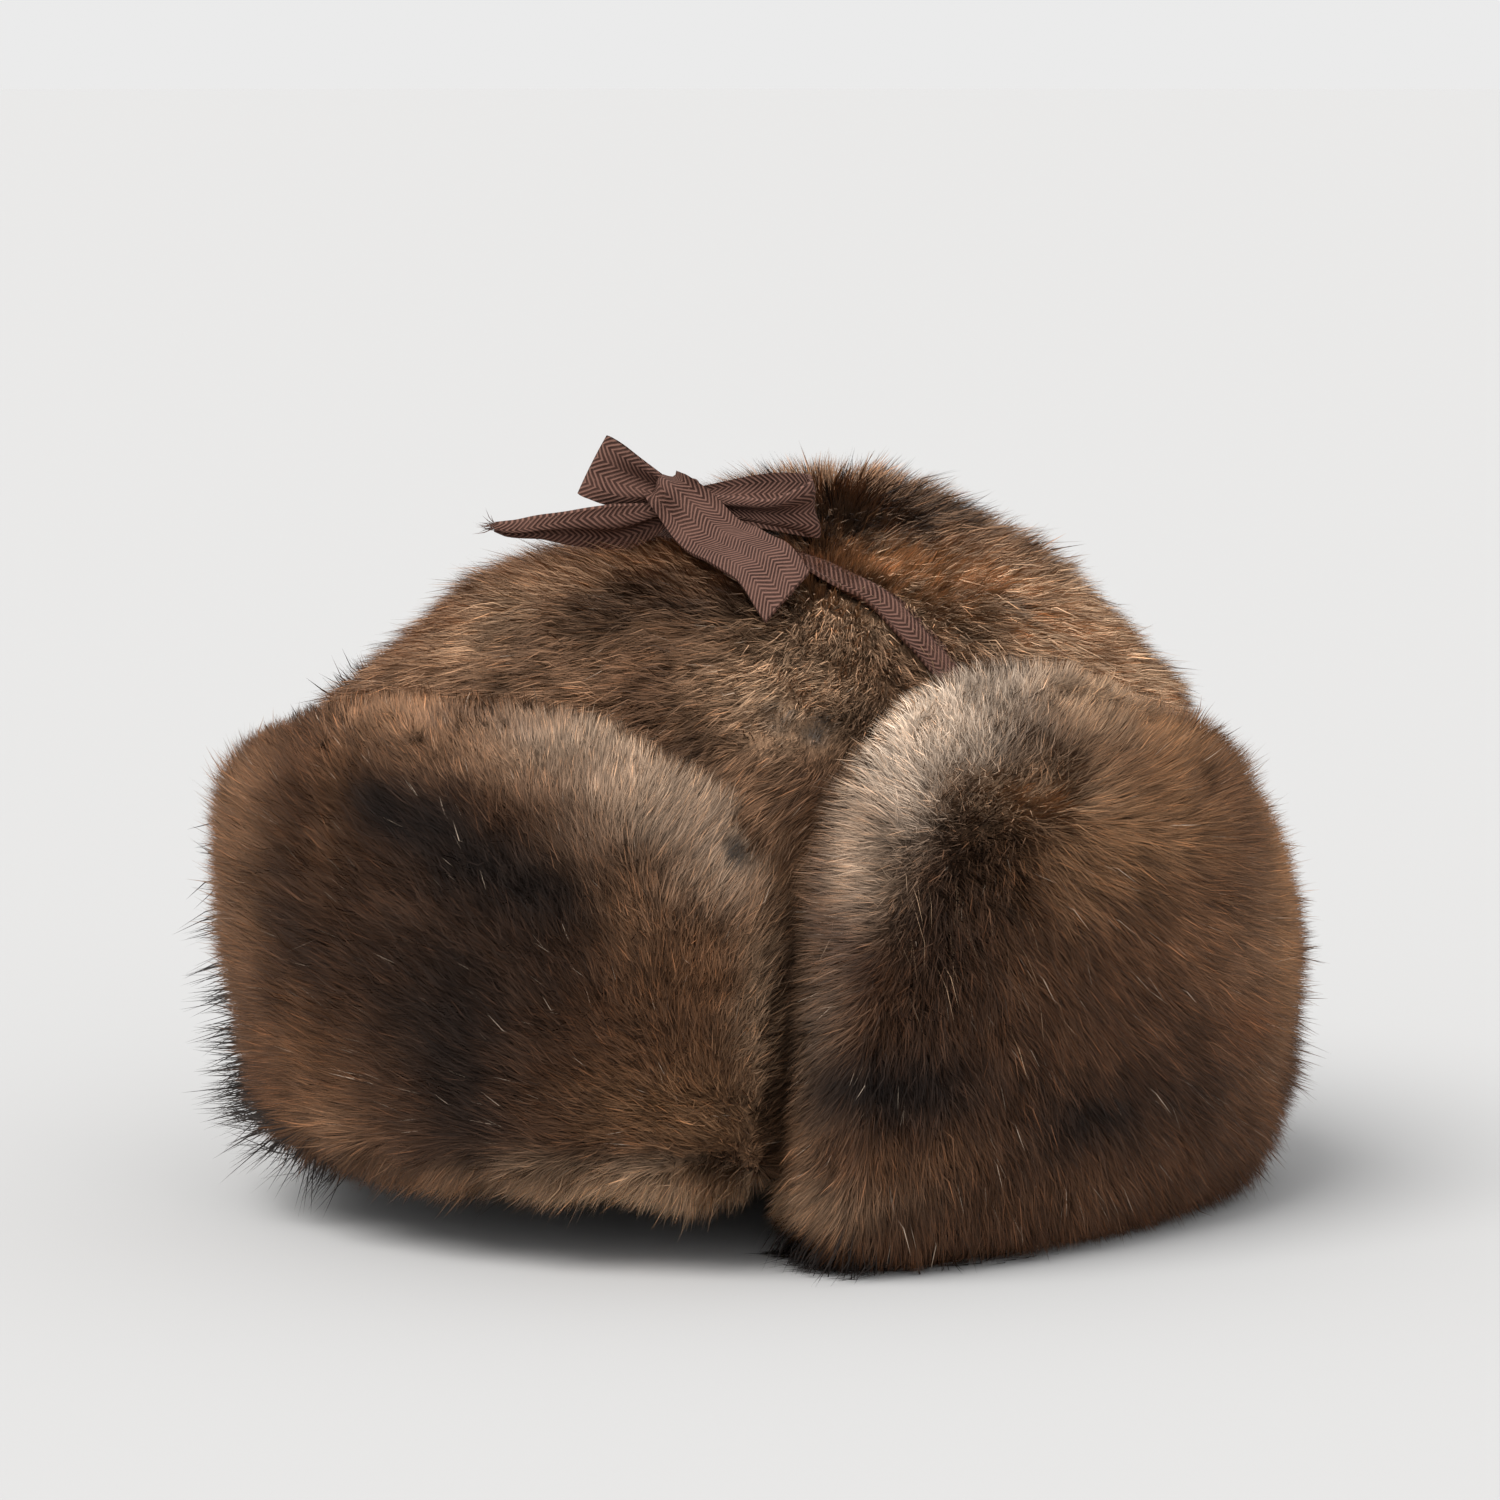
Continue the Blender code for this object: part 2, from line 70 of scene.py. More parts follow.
# A column of a table, read smoothly at a value of the first column.
def smooth(rows, column, at):
    at = min(max(at, rows[0][0]), rows[-1][0])
    i = max(k for k in range(len(rows) - 1) if rows[k][0] <= at)
    step = rows[i + 1][0] - rows[i][0]
    u = (at - rows[i][0]) / step
    start, end = rows[i][column], rows[i + 1][column]
    leave, arrive = slopeAt(rows, column, i) * step, slopeAt(rows, column, i + 1) * step
    return (
        (2 * u**3 - 3 * u**2 + 1) * start
        + (u**3 - 2 * u**2 + u) * leave
        + (3 * u**2 - 2 * u**3) * end
        + (u**3 - u**2) * arrive
    )


def numbered(rows):
    return [(k, *row) for k, row in enumerate(rows)]


def unit(vectors):
    return vectors / np.maximum(np.linalg.norm(vectors, axis=-1, keepdims=True), 1e-9)


# Value noise in space
latticeSize = 32
lattice = np.random.default_rng(7).random((latticeSize,) * 3)


# Smooth noise from 0 to 1 with cells of this size in metres.
def noiseAt(places, scale, shift=0.0):
    at = places / scale + 17.3 + shift
    cell = np.floor(at).astype(int)
    part = at - cell
    part = part * part * (3 - 2 * part)
    total = np.zeros(len(places))
    for dx in (0, 1):
        for dy in (0, 1):
            for dz in (0, 1):
                weight = (
                    np.abs(1 - dx - part[:, 0])
                    * np.abs(1 - dy - part[:, 1])
                    * np.abs(1 - dz - part[:, 2])
                )
                i, j, k = ((cell + (dx, dy, dz)) % latticeSize).T
                total += weight * lattice[i, j, k]
    return total


def noiseVector(places, scale, shift):
    return np.column_stack([noiseAt(places, scale, shift + k * 4.3) - 0.5 for k in range(3)]) * 2


# Meshes
# Points, triangles, point normals of a mesh object.
def meshArrays(obj):
    mesh = obj.data
    points = np.zeros(len(mesh.vertices) * 3)
    mesh.vertices.foreach_get("co", points)
    normals = np.zeros(len(mesh.vertices) * 3)
    mesh.vertices.foreach_get("normal", normals)
    mesh.calc_loop_triangles()
    triangles = np.zeros(len(mesh.loop_triangles) * 3, int)
    mesh.loop_triangles.foreach_get("vertices", triangles)
    return points.reshape(-1, 3), triangles.reshape(-1, 3), normals.reshape(-1, 3)


def placeObject(name, mesh, material):
    obj = bpy.data.objects.new(name, mesh)
    mesh.materials.append(material)
    bpy.context.scene.collection.objects.link(obj)
    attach(obj, "root")
    return obj


# A mesh of triangles with UV layers given per corner.
def trianglesMesh(name, points, triangles, layers):
    mesh = bpy.data.meshes.new(name)
    mesh.vertices.add(len(points))
    mesh.vertices.foreach_set("co", points.ravel())
    mesh.loops.add(len(triangles) * 3)
    mesh.loops.foreach_set("vertex_index", triangles.ravel())
    mesh.polygons.add(len(triangles))
    mesh.polygons.foreach_set("loop_start", np.arange(len(triangles)) * 3)
    for layerName, values in layers.items():
        layer = mesh.uv_layers.new(name=layerName)
        layer.uv.foreach_set("vector", values.ravel().astype(np.float32))
    mesh.update(calc_edges=True)
    return mesh


# Writes the coat's tint at each point.
def addTint(mesh, tint):
    layer = mesh.attributes.new("coat", "FLOAT_COLOR", "POINT")
    layer.data.foreach_set("color", np.column_stack([tint, np.ones(len(tint))]).ravel())


# Places on the hat: half sizes across the flaps, and the point that the crown's hairs flow from
flapHalf = np.array([0.082, 0.100]) + 0.035
peak = np.array([0.0, 0.030, 0.205])


# Degrees round from the front by the wearer's left, 0 to 360, and height in mm.
def roundHead(places):
    turn = np.degrees(np.arctan2(places[:, 0] / flapHalf[0], -places[:, 1] / flapHalf[1]))
    return turn % 360, places[:, 2] * 1000


def wrapped(difference):
    return (difference + 180) % 360 - 180


# A degree round the flaps is about 2.2 mm
mmPerDegree = 2.2


# Flow over a flap from comb spots (degrees, height, turn, lift). turn is from up towards the wearer's left.
def combFlap(places, normals, spots, reachMm):
    degrees, height = roundHead(places)
    flowAround, flowUp = np.zeros(len(places)), np.zeros(len(places))
    lift, total = np.zeros(len(places)), np.full(len(places), 1e-9)
    for spotDegrees, spotHeight, turn, spotLift in spots:
        away = (wrapped(degrees - spotDegrees) * mmPerDegree) ** 2 + (height - spotHeight) ** 2
        weight = np.exp(-away / (2 * reachMm**2)) + 1e-6 / (1 + away)
        flowAround += weight * math.sin(math.radians(turn))
        flowUp += weight * math.cos(math.radians(turn))
        lift += weight * spotLift
        total += weight
    angle = np.radians(degrees)
    around = np.column_stack([np.cos(angle), np.sin(angle), np.zeros(len(angle))])
    flow = around * (flowAround / total)[:, None]
    flow[:, 2] += flowUp / total
    return flow, lift / total


# Flow down from the crown's whorl, bent by spots (x, y, bend degrees, lift) in mm, seen from above.
def combCrown(places, normals, spots, reachMm):
    flow = unit(places - peak)
    bend, lift, total = np.zeros(len(places)), np.zeros(len(places)), np.full(len(places), 1e-9)
    for x, y, spotBend, spotLift in spots:
        away = (places[:, 0] * 1000 - x) ** 2 + (places[:, 1] * 1000 - y) ** 2
        weight = np.exp(-away / (2 * reachMm**2)) + 1e-6 / (1 + away)
        bend += weight * spotBend
        lift += weight * spotLift
        total += weight
    turn = np.radians(bend / total)
    across = np.cross(normals, flow)
    return flow * np.cos(turn)[:, None] + across * np.sin(turn)[:, None], lift / total


# The coat's tint from a base tone and soft patches. awayFrom(places, patch) is 1 at a patch's edge.
def coatTint(places, coat, awayFrom):
    tint = np.tile(linear(tones[coat["base"]]), (len(places), 1))
    shaken = places + noiseVector(places, 0.014, 3.1) * coat["wander"]
    shaken = shaken + noiseVector(places, 0.0045, 6.1) * coat["wander"] * 0.35
    for patch in coat["patches"]:
        tone, strength = patch[-2:]
        weight = (strength * np.exp(-(awayFrom(shaken, patch) ** 1.1)))[:, None]
        tint = tint * (1 - weight) + linear(tones[tone]) * weight
    bare = (nickAt(places) * 0.9)[:, None]
    tint = tint * (1 - bare) + linear(tones["slate"]) * bare
    mottle = (noiseAt(places, 0.011, 1.0) - 0.5) * 0.5 + (noiseAt(places, 0.0045, 5.0) - 0.5) * 0.5
    return tint * np.exp(mottle * coat["mottle"])[:, None]


# Nicks in the coat, in mm: place, radius and share
nicks = (
    (69, -66, 130, 2.9, 1.0), (75, -60, 127, 2.6, 1.0), (83, -96, 101, 2.4, 1.0), (114, 26, 109, 2.8, 0.7),
    (34, 26, 169, 2.2, 0.7), (72, 20, 151, 2.5, 0.7),
)


# How bare the coat is here, 0 to 1, this many mm below its surface
def nickAt(places, depth=1.5):
    bare = np.zeros(len(places))
    for x, y, z, radius, share in nicks:
        away = np.linalg.norm(places * 1000 - (x, y, z), axis=1) - depth
        bare = np.maximum(bare, share * np.clip(1.6 - np.maximum(away, 0) / radius, 0, 1))
    return bare


# Patches of the flaps: degrees, height, half widths in degrees and mm
def awayRound(places, patch):
    degrees, height = roundHead(places)
    return (wrapped(degrees - patch[0]) / patch[2]) ** 2 + ((height - patch[1]) / patch[3]) ** 2


# Patches of the crown: place and radius in mm
def awayInSpace(places, patch):
    return ((places * 1000 - np.array(patch[:3])) ** 2).sum(axis=1) / patch[3] ** 2


# Base under the hairs
# The CAD form, smoothed and drawn in by the depth of the hairs.
def underfur(name, nodeName, settings, material, tintOf):
    mesh = nodes[nodeName].data.copy()
    mesh.name = name
    mesh.materials.clear()
    obj = placeObject(name, mesh, material)
    bpy.context.view_layer.objects.active = obj
    remesh = obj.modifiers.new("even", "REMESH")
    remesh.mode = "VOXEL"
    remesh.voxel_size = settings["voxel"]
    relax = obj.modifiers.new("relax", "SMOOTH")
    relax.factor = 0.5
    relax.iterations = settings["relax"]
    evaluated = obj.evaluated_get(bpy.context.evaluated_depsgraph_get())
    made = bpy.data.meshes.new_from_object(evaluated)
    obj.modifiers.clear()
    obj.data = made
    made.name = name
    made.materials.clear()
    made.materials.append(material)
    points, _, normals = meshArrays(obj)
    away = unit(points - np.array(settings["heart"]))
    outward = np.clip((away * normals).sum(axis=1) * 1.6 + 0.3, 0, 1)
    points = points - normals * (settings["inset"] * outward)[:, None]
    made.vertices.foreach_set("co", points.ravel())
    made.update()
    made.shade_smooth()
    # Painted shade beneath the hairs: the coat's tint is darkened by the shade setting
    addTint(made, tintOf(points) * settings["shade"])
    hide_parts(nodeName)
    return obj


# Hair
# Tapered hairs scattered over a base, drawn together in locks, as one mesh of triangles.
def hairCoat(name, base, count, settings, combOf, tintOf, keep, material):
    chance = np.random.default_rng(settings["seed"])
    points, triangles, normals = meshArrays(base)
    corners = points[triangles]
    area = np.linalg.norm(np.cross(corners[:, 1] - corners[:, 0], corners[:, 2] - corners[:, 0]), axis=1)
    middle = corners.mean(axis=1)
    weight = area * keep(middle, unit(normals[triangles].mean(axis=1)))
    picked = chance.choice(len(triangles), count, p=weight / weight.sum())
    u, v = chance.random(count), chance.random(count)
    swap = u + v > 1
    u[swap], v[swap] = 1 - u[swap], 1 - v[swap]
    share = np.column_stack([1 - u - v, u, v])[:, :, None]
    roots = (corners[picked] * share).sum(axis=1)
    normal = unit((normals[triangles[picked]] * share).sum(axis=1))

    # Neighbouring hairs get neighbouring numbers, for the bake map
    order = np.lexsort((roots[:, 0] // 0.004, roots[:, 1] // 0.004, roots[:, 2] // 0.004))
    roots, normal = roots[order], normal[order]

    flow, lift = combOf(roots, normal)
    flow = flow + (noiseVector(roots, settings["waveSize"], 11.0)) * settings["wave"]
    flow = flow - normal * (flow * normal).sum(axis=1, keepdims=True)
    flow = flow / np.maximum(np.linalg.norm(flow, axis=1, keepdims=True), 0.35)
    guard = chance.random(count) < settings["guardShare"]
    length = settings["length"] * (0.72 + 0.4 * chance.random(count))
    length = length * (0.84 + 0.32 * noiseAt(roots, 0.009, 2.0))
    length = np.where(guard, length * settings["guardLength"], length)
    length = length * settings["lengthAt"](roots) if "lengthAt" in settings else length
    length = length * (1 - 0.55 * nickAt(roots, 5.5))
    pressed = underTape(roots, settings["press"])
    length = length * (1 - 0.45 * pressed)
    lift = np.radians(lift * (1 - 0.55 * pressed) + (chance.random(count) - 0.5) * settings["liftSpread"])
    spread = chance.normal(0, settings["stray"], (count, 3))
    first = unit(flow * np.cos(lift * 1.3)[:, None] + normal * np.sin(lift * 1.3)[:, None] + spread * 0.6)
    second = unit(flow * np.cos(lift * 0.8)[:, None] + normal * np.sin(lift * 0.8)[:, None] + spread)
    roots = roots - normal * settings["sink"]
    middle = roots + first * (length * 0.5)[:, None]
    tips = middle + second * (length * 0.5)[:, None]

    # Locks: each hair leans to the tip of its lock's leader, and takes some of its tone
    lockTone = np.zeros(count)
    for lockSize, pull in settings["locks"]:
        heads = chance.choice(count, max(1, int(count / lockSize)), replace=False)
        tree = KDTree(len(heads))
        for place, head in enumerate(heads):
            tree.insert(roots[head], place)
        tree.balance()
        nearest = heads[np.array([tree.find(root)[1] for root in roots])]
        strength = (pull * (0.5 + chance.random(count)))[:, None]
        tips = tips + (tips[nearest] - tips) * strength
        middle = middle + (middle[nearest] - middle) * strength * 0.4
        lockTone += (chance.random(count)[nearest] - 0.5) * settings["lockSpread"]

    floorGap = 0.0004
    for row in (roots, middle, tips):
        row[:, 2] = np.maximum(row[:, 2], floorGap)

    along = unit(tips - roots)
    across = unit(np.cross(along, normal) + chance.normal(0, 0.05, (count, 3)))
    roll = np.radians(settings["roll"]) * (chance.random(count) * 2 - 1)
    across = across * np.cos(roll)[:, None] + np.cross(along, across) * np.sin(roll)[:, None]
    facing = np.cross(across, along)
    outside = np.where((facing * normal).sum(axis=1) < 0, -1.0, 1.0)[:, None]
    across, facing = across * outside, facing * outside
    width = settings["width"] * (0.7 + 0.6 * chance.random(count)) * np.where(guard, 1.2, 1.0)
    half = across * (width / 2)[:, None]
    fate = chance.random(count)
    tone = np.exp((chance.random(count) - 0.5) * settings["spread"] + lockTone)
    tint = tintOf(roots + (tips - roots) * 0.6) * tone[:, None]
    shading = unit(normal * settings["softness"] + facing * (1 - settings["softness"]))

    # Bent hairs have three triangles, straight ones have one. Neighbours share a cell of the bake map.
    bent = guard | (chance.random(count) < settings["bentShare"])
    cell = np.arange(count) // settings["cellShare"]
    side = int(math.ceil(math.sqrt(cell[-1] + 1)))
    kinds = (
        (
            bent, [[0, 1, 3], [0, 3, 2], [2, 3, 4]], (0, 0, 0.5, 0.5, 1),
            (0.06, 0.06, 0.5, 0.5, 0.96), (0.04, 0.96, 0.04, 0.96, 0.5),
        ),
        (~bent, [[0, 1, 2]], (0, 0, 1), (0.06, 0.06, 0.96), (0.04, 0.96, 0.5)),
    )
    made = {key: [] for key in ("points", "faces", "strand", "bake", "tint", "shading")}
    start = 0
    for mask, pattern, rise, spotX, spotY in kinds:
        ids = np.flatnonzero(mask)
        left, rightSide = roots[ids] - half[ids], roots[ids] + half[ids]
        rows = [left, rightSide, tips[ids]]
        if len(rise) == 5:
            rows[2:2] = [middle[ids] - half[ids] * 0.85, middle[ids] + half[ids] * 0.85]
        made["points"].append(np.stack(rows, axis=1).reshape(-1, 3))
        corner = np.broadcast_to(np.array(pattern), (len(ids), len(pattern), 3)).reshape(-1, 3)
        hairOf = np.repeat(np.arange(len(ids)), len(pattern))[:, None]
        made["faces"].append(start + hairOf * len(rise) + corner)
        start += len(ids) * len(rise)
        owner = ids[hairOf]
        number = np.broadcast_to(fate[owner], corner.shape)
        made["strand"].append(np.stack([np.array(rise, float)[corner], number], axis=-1))
        bakeX = (cell[owner] % side + np.array(spotX)[corner]) / side
        bakeY = (cell[owner] // side + np.array(spotY)[corner]) / side
        made["bake"].append(np.stack([bakeX, bakeY], axis=-1))
        made["tint"].append(np.repeat(tint[ids], len(rise), axis=0))
        made["shading"].append(np.repeat(shading[ids], len(rise), axis=0))
    made = {key: np.concatenate(value) for key, value in made.items()}
    layers = {"strand": made["strand"], "OFBake": made["bake"]}
    mesh = trianglesMesh(name, made["points"], made["faces"], layers)
    addTint(mesh, made["tint"])
    mesh.normals_split_custom_set_from_vertices(made["shading"])
    return placeObject(name, mesh, material)


# Shader helpers
# A shader node with its settings, and its inputs as values or as sockets to link.
def addNode(tree, kind, inputs=None, **settings):
    node = tree.nodes.new("ShaderNode" + kind)
    for key, value in settings.items():
        setattr(node, key, value)
    for name, value in (inputs or {}).items():
        if isinstance(value, bpy.types.NodeSocket):
            tree.links.new(value, node.inputs[name])
        else:
            node.inputs[name].default_value = value
    return node


def calc(tree, operation, first, second=0.0, third=None):
    inputs = {0: first, 1: second}
    if third is not None:
        inputs[2] = third
    return addNode(tree, "Math", inputs, operation=operation).outputs[0]


def blendColour(tree, factor, first, second, mode="MIX"):
    inputs = {"Factor": factor, "A": first, "B": second}
    node = addNode(tree, "Mix", inputs, data_type="RGBA", blend_type=mode)
    return node.outputs["Result"]


def ramp(tree, value, low, high, start=0.0, end=1.0):
    inputs = {"Value": value, "From Min": low, "From Max": high, "To Min": start, "To Max": end}
    return addNode(tree, "MapRange", inputs, interpolation_type="SMOOTHSTEP").outputs[0]


# An empty node group with named sockets, and its input and output nodes.
def noise(tree, place, scale, detail):
    inputs = {"Vector": place, "Scale": scale, "Detail": detail}
    return addNode(tree, "TexNoise", inputs).outputs["Fac"]


def makeGroup(name, inputs, outputs):
    group = bpy.data.node_groups.new(name, "ShaderNodeTree")
    kinds = {"value": "NodeSocketFloat", "colour": "NodeSocketColor", "vector": "NodeSocketVector"}
    for label, kind, default in inputs:
        socket = group.interface.new_socket(name=label, in_out="INPUT", socket_type=kinds[kind])
        if default is not None:
            socket.default_value = default
    for label, kind in outputs:
        group.interface.new_socket(name=label, in_out="OUTPUT", socket_type=kinds[kind])
    return group, group.nodes.new("NodeGroupInput").outputs, group.nodes.new("NodeGroupOutput")


def useGroup(tree, group, inputs):
    node = tree.nodes.new("ShaderNodeGroup")
    node.node_tree = group
    for name, value in inputs.items():
        if isinstance(value, bpy.types.NodeSocket):
            tree.links.new(value, node.inputs[name])
        else:
            node.inputs[name].default_value = value
    return node.outputs


def colour(tone):
    return (*linear(tones[tone]), 1.0)


# Links a material's colour and roughness, and a bump of this strength and depth in metres
def finish(tree, shader, tint, roughness, height, strength, depth):
    tree.links.new(tint, shader.inputs["Base Color"])
    tree.links.new(roughness, shader.inputs["Roughness"])
    bump = addNode(tree, "Bump", {"Height": height, "Strength": strength, "Distance": depth})
    tree.links.new(bump.outputs[0], shader.inputs["Normal"])


# A material with one Principled shader, whose constants sit on its own sockets.
def newMaterial(name, constants):
    material = bpy.data.materials.new(name)
    material.use_nodes = True
    tree = material.node_tree
    tree.nodes.clear()
    shader = addNode(tree, "BsdfPrincipled", constants)
    output = addNode(tree, "OutputMaterial", {"Surface": shader.outputs[0]})
    output.location = (400, 0)
    return material, tree, shader


# One hair's colour: darker towards the root, partly the hair's own darker base and partly painted shade
# between the hairs, its own lightness, some pale or dark guard hairs, darker tips
def makeHairTint():
    group, given, result = makeGroup(
        "hairTint",
        [
            ("Coat", "colour", None), ("Along", "value", 0.5), ("Chance", "value", 0.5),
            ("Root Shade", "value", 0.4), ("Tip Shade", "value", 0.7), ("Spread", "value", 0.5),
            ("Pale Share", "value", 0.0), ("Dark Share", "value", 0.1), ("Warm Share", "value", 0.15),
        ],
        [("Colour", "colour"), ("Roughness", "value")],
    )
    own = calc(group, "FRACT", calc(group, "MULTIPLY", given["Chance"], 37.7))
    other = calc(group, "FRACT", calc(group, "MULTIPLY", given["Chance"], 173.3))
    # Painted shade, partly the hair's own darker base: the hair darkens towards its root by Root Shade
    rootward = ramp(group, given["Along"], 0.0, 0.55)
    unshaded = calc(group, "SUBTRACT", 1.0, given["Root Shade"])
    root = calc(group, "MULTIPLY_ADD", unshaded, rootward, given["Root Shade"])
    lightness = calc(group, "MULTIPLY_ADD", calc(group, "SUBTRACT", own, 0.5), given["Spread"], 1.0)
    tipward = calc(group, "MULTIPLY", ramp(group, given["Along"], 0.62, 1.0), ramp(group, other, 0.35, 0.6))
    tipLoss = calc(group, "MULTIPLY", calc(group, "SUBTRACT", 1.0, given["Tip Shade"]), tipward)
    tip = calc(group, "SUBTRACT", 1.0, tipLoss)
    value = calc(group, "MULTIPLY", calc(group, "MULTIPLY", root, lightness), tip)
    grey = addNode(group, "CombineColor", {0: value, 1: value, 2: value}).outputs[0]
    shaded = blendColour(group, 1.0, given["Coat"], grey, "MULTIPLY")
    pale = calc(group, "GREATER_THAN", given["Chance"], calc(group, "SUBTRACT", 1.0, given["Pale Share"]))
    pale = calc(group, "MULTIPLY", pale, ramp(group, given["Along"], 0.2, 0.6, 0.0, 0.7))
    dark = calc(group, "LESS_THAN", given["Chance"], given["Dark Share"])
    third = calc(group, "FRACT", calc(group, "MULTIPLY", given["Chance"], 71.3))
    warm = calc(group, "LESS_THAN", third, given["Warm Share"])
    warm = calc(group, "MULTIPLY", warm, ramp(group, given["Along"], 0.3, 0.9))
    glowing = blendColour(group, 1.0, shaded, (1.85, 1.55, 1.3, 1), "MULTIPLY")
    shaded = blendColour(group, warm, shaded, glowing)
    withPale = blendColour(group, pale, shaded, colour("cream"))
    final = blendColour(group, calc(group, "MULTIPLY", dark, 0.6), withPale, colour("black"))
    group.links.new(final, result.inputs["Colour"])
    group.links.new(calc(group, "MULTIPLY_ADD", other, 0.22, 0.38), result.inputs["Roughness"])
    return group


hairTint = makeHairTint()


def hairMaterial(name, settings):
    material, tree, shader = newMaterial(
        name, {"Specular IOR Level": settings["specular"]}
    )
    coat = addNode(tree, "Attribute", attribute_name="coat").outputs["Color"]
    strand = addNode(tree, "SeparateXYZ", {0: addNode(tree, "UVMap", uv_map="strand").outputs[0]}).outputs
    inputs = {"Coat": coat, "Along": strand[0], "Chance": strand[1], **settings["hair"]}
    tint = useGroup(tree, hairTint, inputs)
    tree.links.new(tint["Colour"], shader.inputs["Base Color"])
    tree.links.new(tint["Roughness"], shader.inputs["Roughness"])
    return material


# Dense underfur between the hairs: the coat's tint, broken by fine tufts. Painted shade darkens it towards
# black in the hollows between the soft tufts, and the same noise gives the height for the bump
def makeUnderfurTufts():
    group, given, result = makeGroup(
        "underfurTufts",
        [("Coat", "colour", None), ("Tuft Scale", "value", 150.0), ("Fine Scale", "value", 1000.0)],
        [("Colour", "colour"), ("Roughness", "value"), ("Height", "value")],
    )
    place = addNode(group, "TexCoord").outputs["Object"]
    tufts = noise(group, place, given["Tuft Scale"], 5.0)
    fine = noise(group, place, given["Fine Scale"], 2.0)
    # Painted shade: the coat's tint goes towards black where the tufts, and so the bump, are low
    paintedHollowShade = blendColour(group, ramp(group, tufts, 0.35, 0.65, 0.5, 1.0), colour("black"), given["Coat"])
    underfurWithPaintedShade = blendColour(group, ramp(group, fine, 0.4, 0.7, 0.0, 0.5), paintedHollowShade, given["Coat"])
    group.links.new(underfurWithPaintedShade, result.inputs["Colour"])
    group.links.new(ramp(group, tufts, 0.3, 0.7, 0.95, 0.75), result.inputs["Roughness"])
    group.links.new(calc(group, "MULTIPLY_ADD", fine, 0.4, tufts), result.inputs["Height"])
    return group


underfurTufts = makeUnderfurTufts()


def underfurMaterial(name, settings):
    material, tree, shader = newMaterial(name, {"Specular IOR Level": 0.1})
    coat = addNode(tree, "Attribute", attribute_name="coat").outputs["Color"]
    tufts = useGroup(tree, underfurTufts, {
        "Coat": coat, "Tuft Scale": settings["tuftScale"], "Fine Scale": settings["fineScale"],
    })
    finish(tree, shader, tufts["Colour"], tufts["Roughness"], tufts["Height"], 0.8, 0.0015)
    return material


# Herringbone twill: slanted ribs that turn back at each column along the tape
def makeHerringbone():
    group, given, result = makeGroup(
        "herringbone",
        [
            ("Along", "value", 0.0), ("Across", "value", 0.0), ("Pitch", "value", 0.002),
            ("Column", "value", 0.004), ("Slant", "value", 1.0), ("Yarn", "value", 0.0005),
        ],
        [("Rib", "value"), ("Height", "value"), ("Fleck", "value")],
    )
    turn = calc(group, "PINGPONG", given["Across"], given["Column"])
    where = addNode(group, "CombineXYZ", {0: given["Along"], 1: given["Across"]}).outputs[0]
    wobble = noise(group, where, 420.0, 2.0)
    slanted = calc(group, "MULTIPLY_ADD", turn, given["Slant"], given["Along"])
    phase = calc(group, "DIVIDE", slanted, given["Pitch"])
    phase = calc(group, "MULTIPLY_ADD", wobble, 0.22, phase)
    wave = calc(group, "SINE", calc(group, "MULTIPLY", phase, 2 * math.pi))
    rib = calc(group, "MULTIPLY_ADD", wave, 0.5, 0.5)
    weft = calc(group, "MULTIPLY", calc(group, "DIVIDE", given["Across"], given["Yarn"]), 2 * math.pi)
    weft = calc(group, "SINE", weft)
    warp = calc(group, "MULTIPLY", calc(group, "DIVIDE", given["Along"], given["Yarn"]), 2 * math.pi)
    warp = calc(group, "SINE", warp)
    yarn = calc(group, "MULTIPLY", weft, warp)
    fleck = noise(group, where, 1700.0, 2.0)
    height = calc(group, "MULTIPLY_ADD", yarn, 0.18, rib)
    height = calc(group, "ADD", height, calc(group, "MULTIPLY", fleck, 0.5))
    group.links.new(ramp(group, calc(group, "MULTIPLY_ADD", yarn, 0.2, rib), 0.3, 0.95), result.inputs["Rib"])
    group.links.new(height, result.inputs["Height"])
    group.links.new(fleck, result.inputs["Fleck"])
    return group


def tapeMaterial():
    settings = {
        "light": (*linear((0.46, 0.338, 0.295)), 1), "dark": (*linear((0.205, 0.135, 0.112)), 1),
        "lint": (*linear((0.55, 0.43, 0.37)), 1),
    }
    material, tree, shader = newMaterial("twillTape", {"Specular IOR Level": 0.12})
    uv = addNode(tree, "SeparateXYZ", {0: addNode(tree, "UVMap", uv_map="tape").outputs[0]}).outputs
    weave = useGroup(tree, makeHerringbone(), {
        "Along": uv[0], "Across": uv[1], "Pitch": 0.00155, "Column": 0.0034, "Slant": 1.1, "Yarn": 0.00042,
    })
    threads = blendColour(tree, weave["Rib"], settings["dark"], settings["light"])
    place = addNode(tree, "TexCoord").outputs["Object"]
    faded = noise(tree, place, 160.0, 3.0)
    worn = blendColour(tree, ramp(tree, faded, 0.35, 0.75, 0.0, 0.22), threads, settings["light"])
    flecked = blendColour(tree, ramp(tree, weave["Fleck"], 0.62, 0.78, 0.0, 0.45), worn, settings["lint"])
    roughness = ramp(tree, weave["Fleck"], 0.3, 0.7, 0.95, 0.75)
    finish(tree, shader, flecked, roughness, weave["Height"], 0.7, 0.0004)
    return material


# Sueded flesh side of the hide, inside the crown.
def hideMaterial():
    material, tree, shader = newMaterial("suededHide", {"Specular IOR Level": 0.15, "Sheen Weight": 0.3})
    place = addNode(tree, "TexCoord").outputs["Object"]
    cloud = noise(tree, place, 28.0, 6.0)
    nap = noise(tree, place, 900.0, 3.0)
    tone = blendColour(tree, ramp(tree, cloud, 0.3, 0.7), colour("brown"), colour("tan"))
    darker = blendColour(tree, ramp(tree, nap, 0.4, 0.7, 0.0, 0.35), tone, colour("dark"))
    finish(tree, shader, darker, ramp(tree, nap, 0.3, 0.7, 0.95, 0.8), nap, 0.35, 0.0005)
    return material


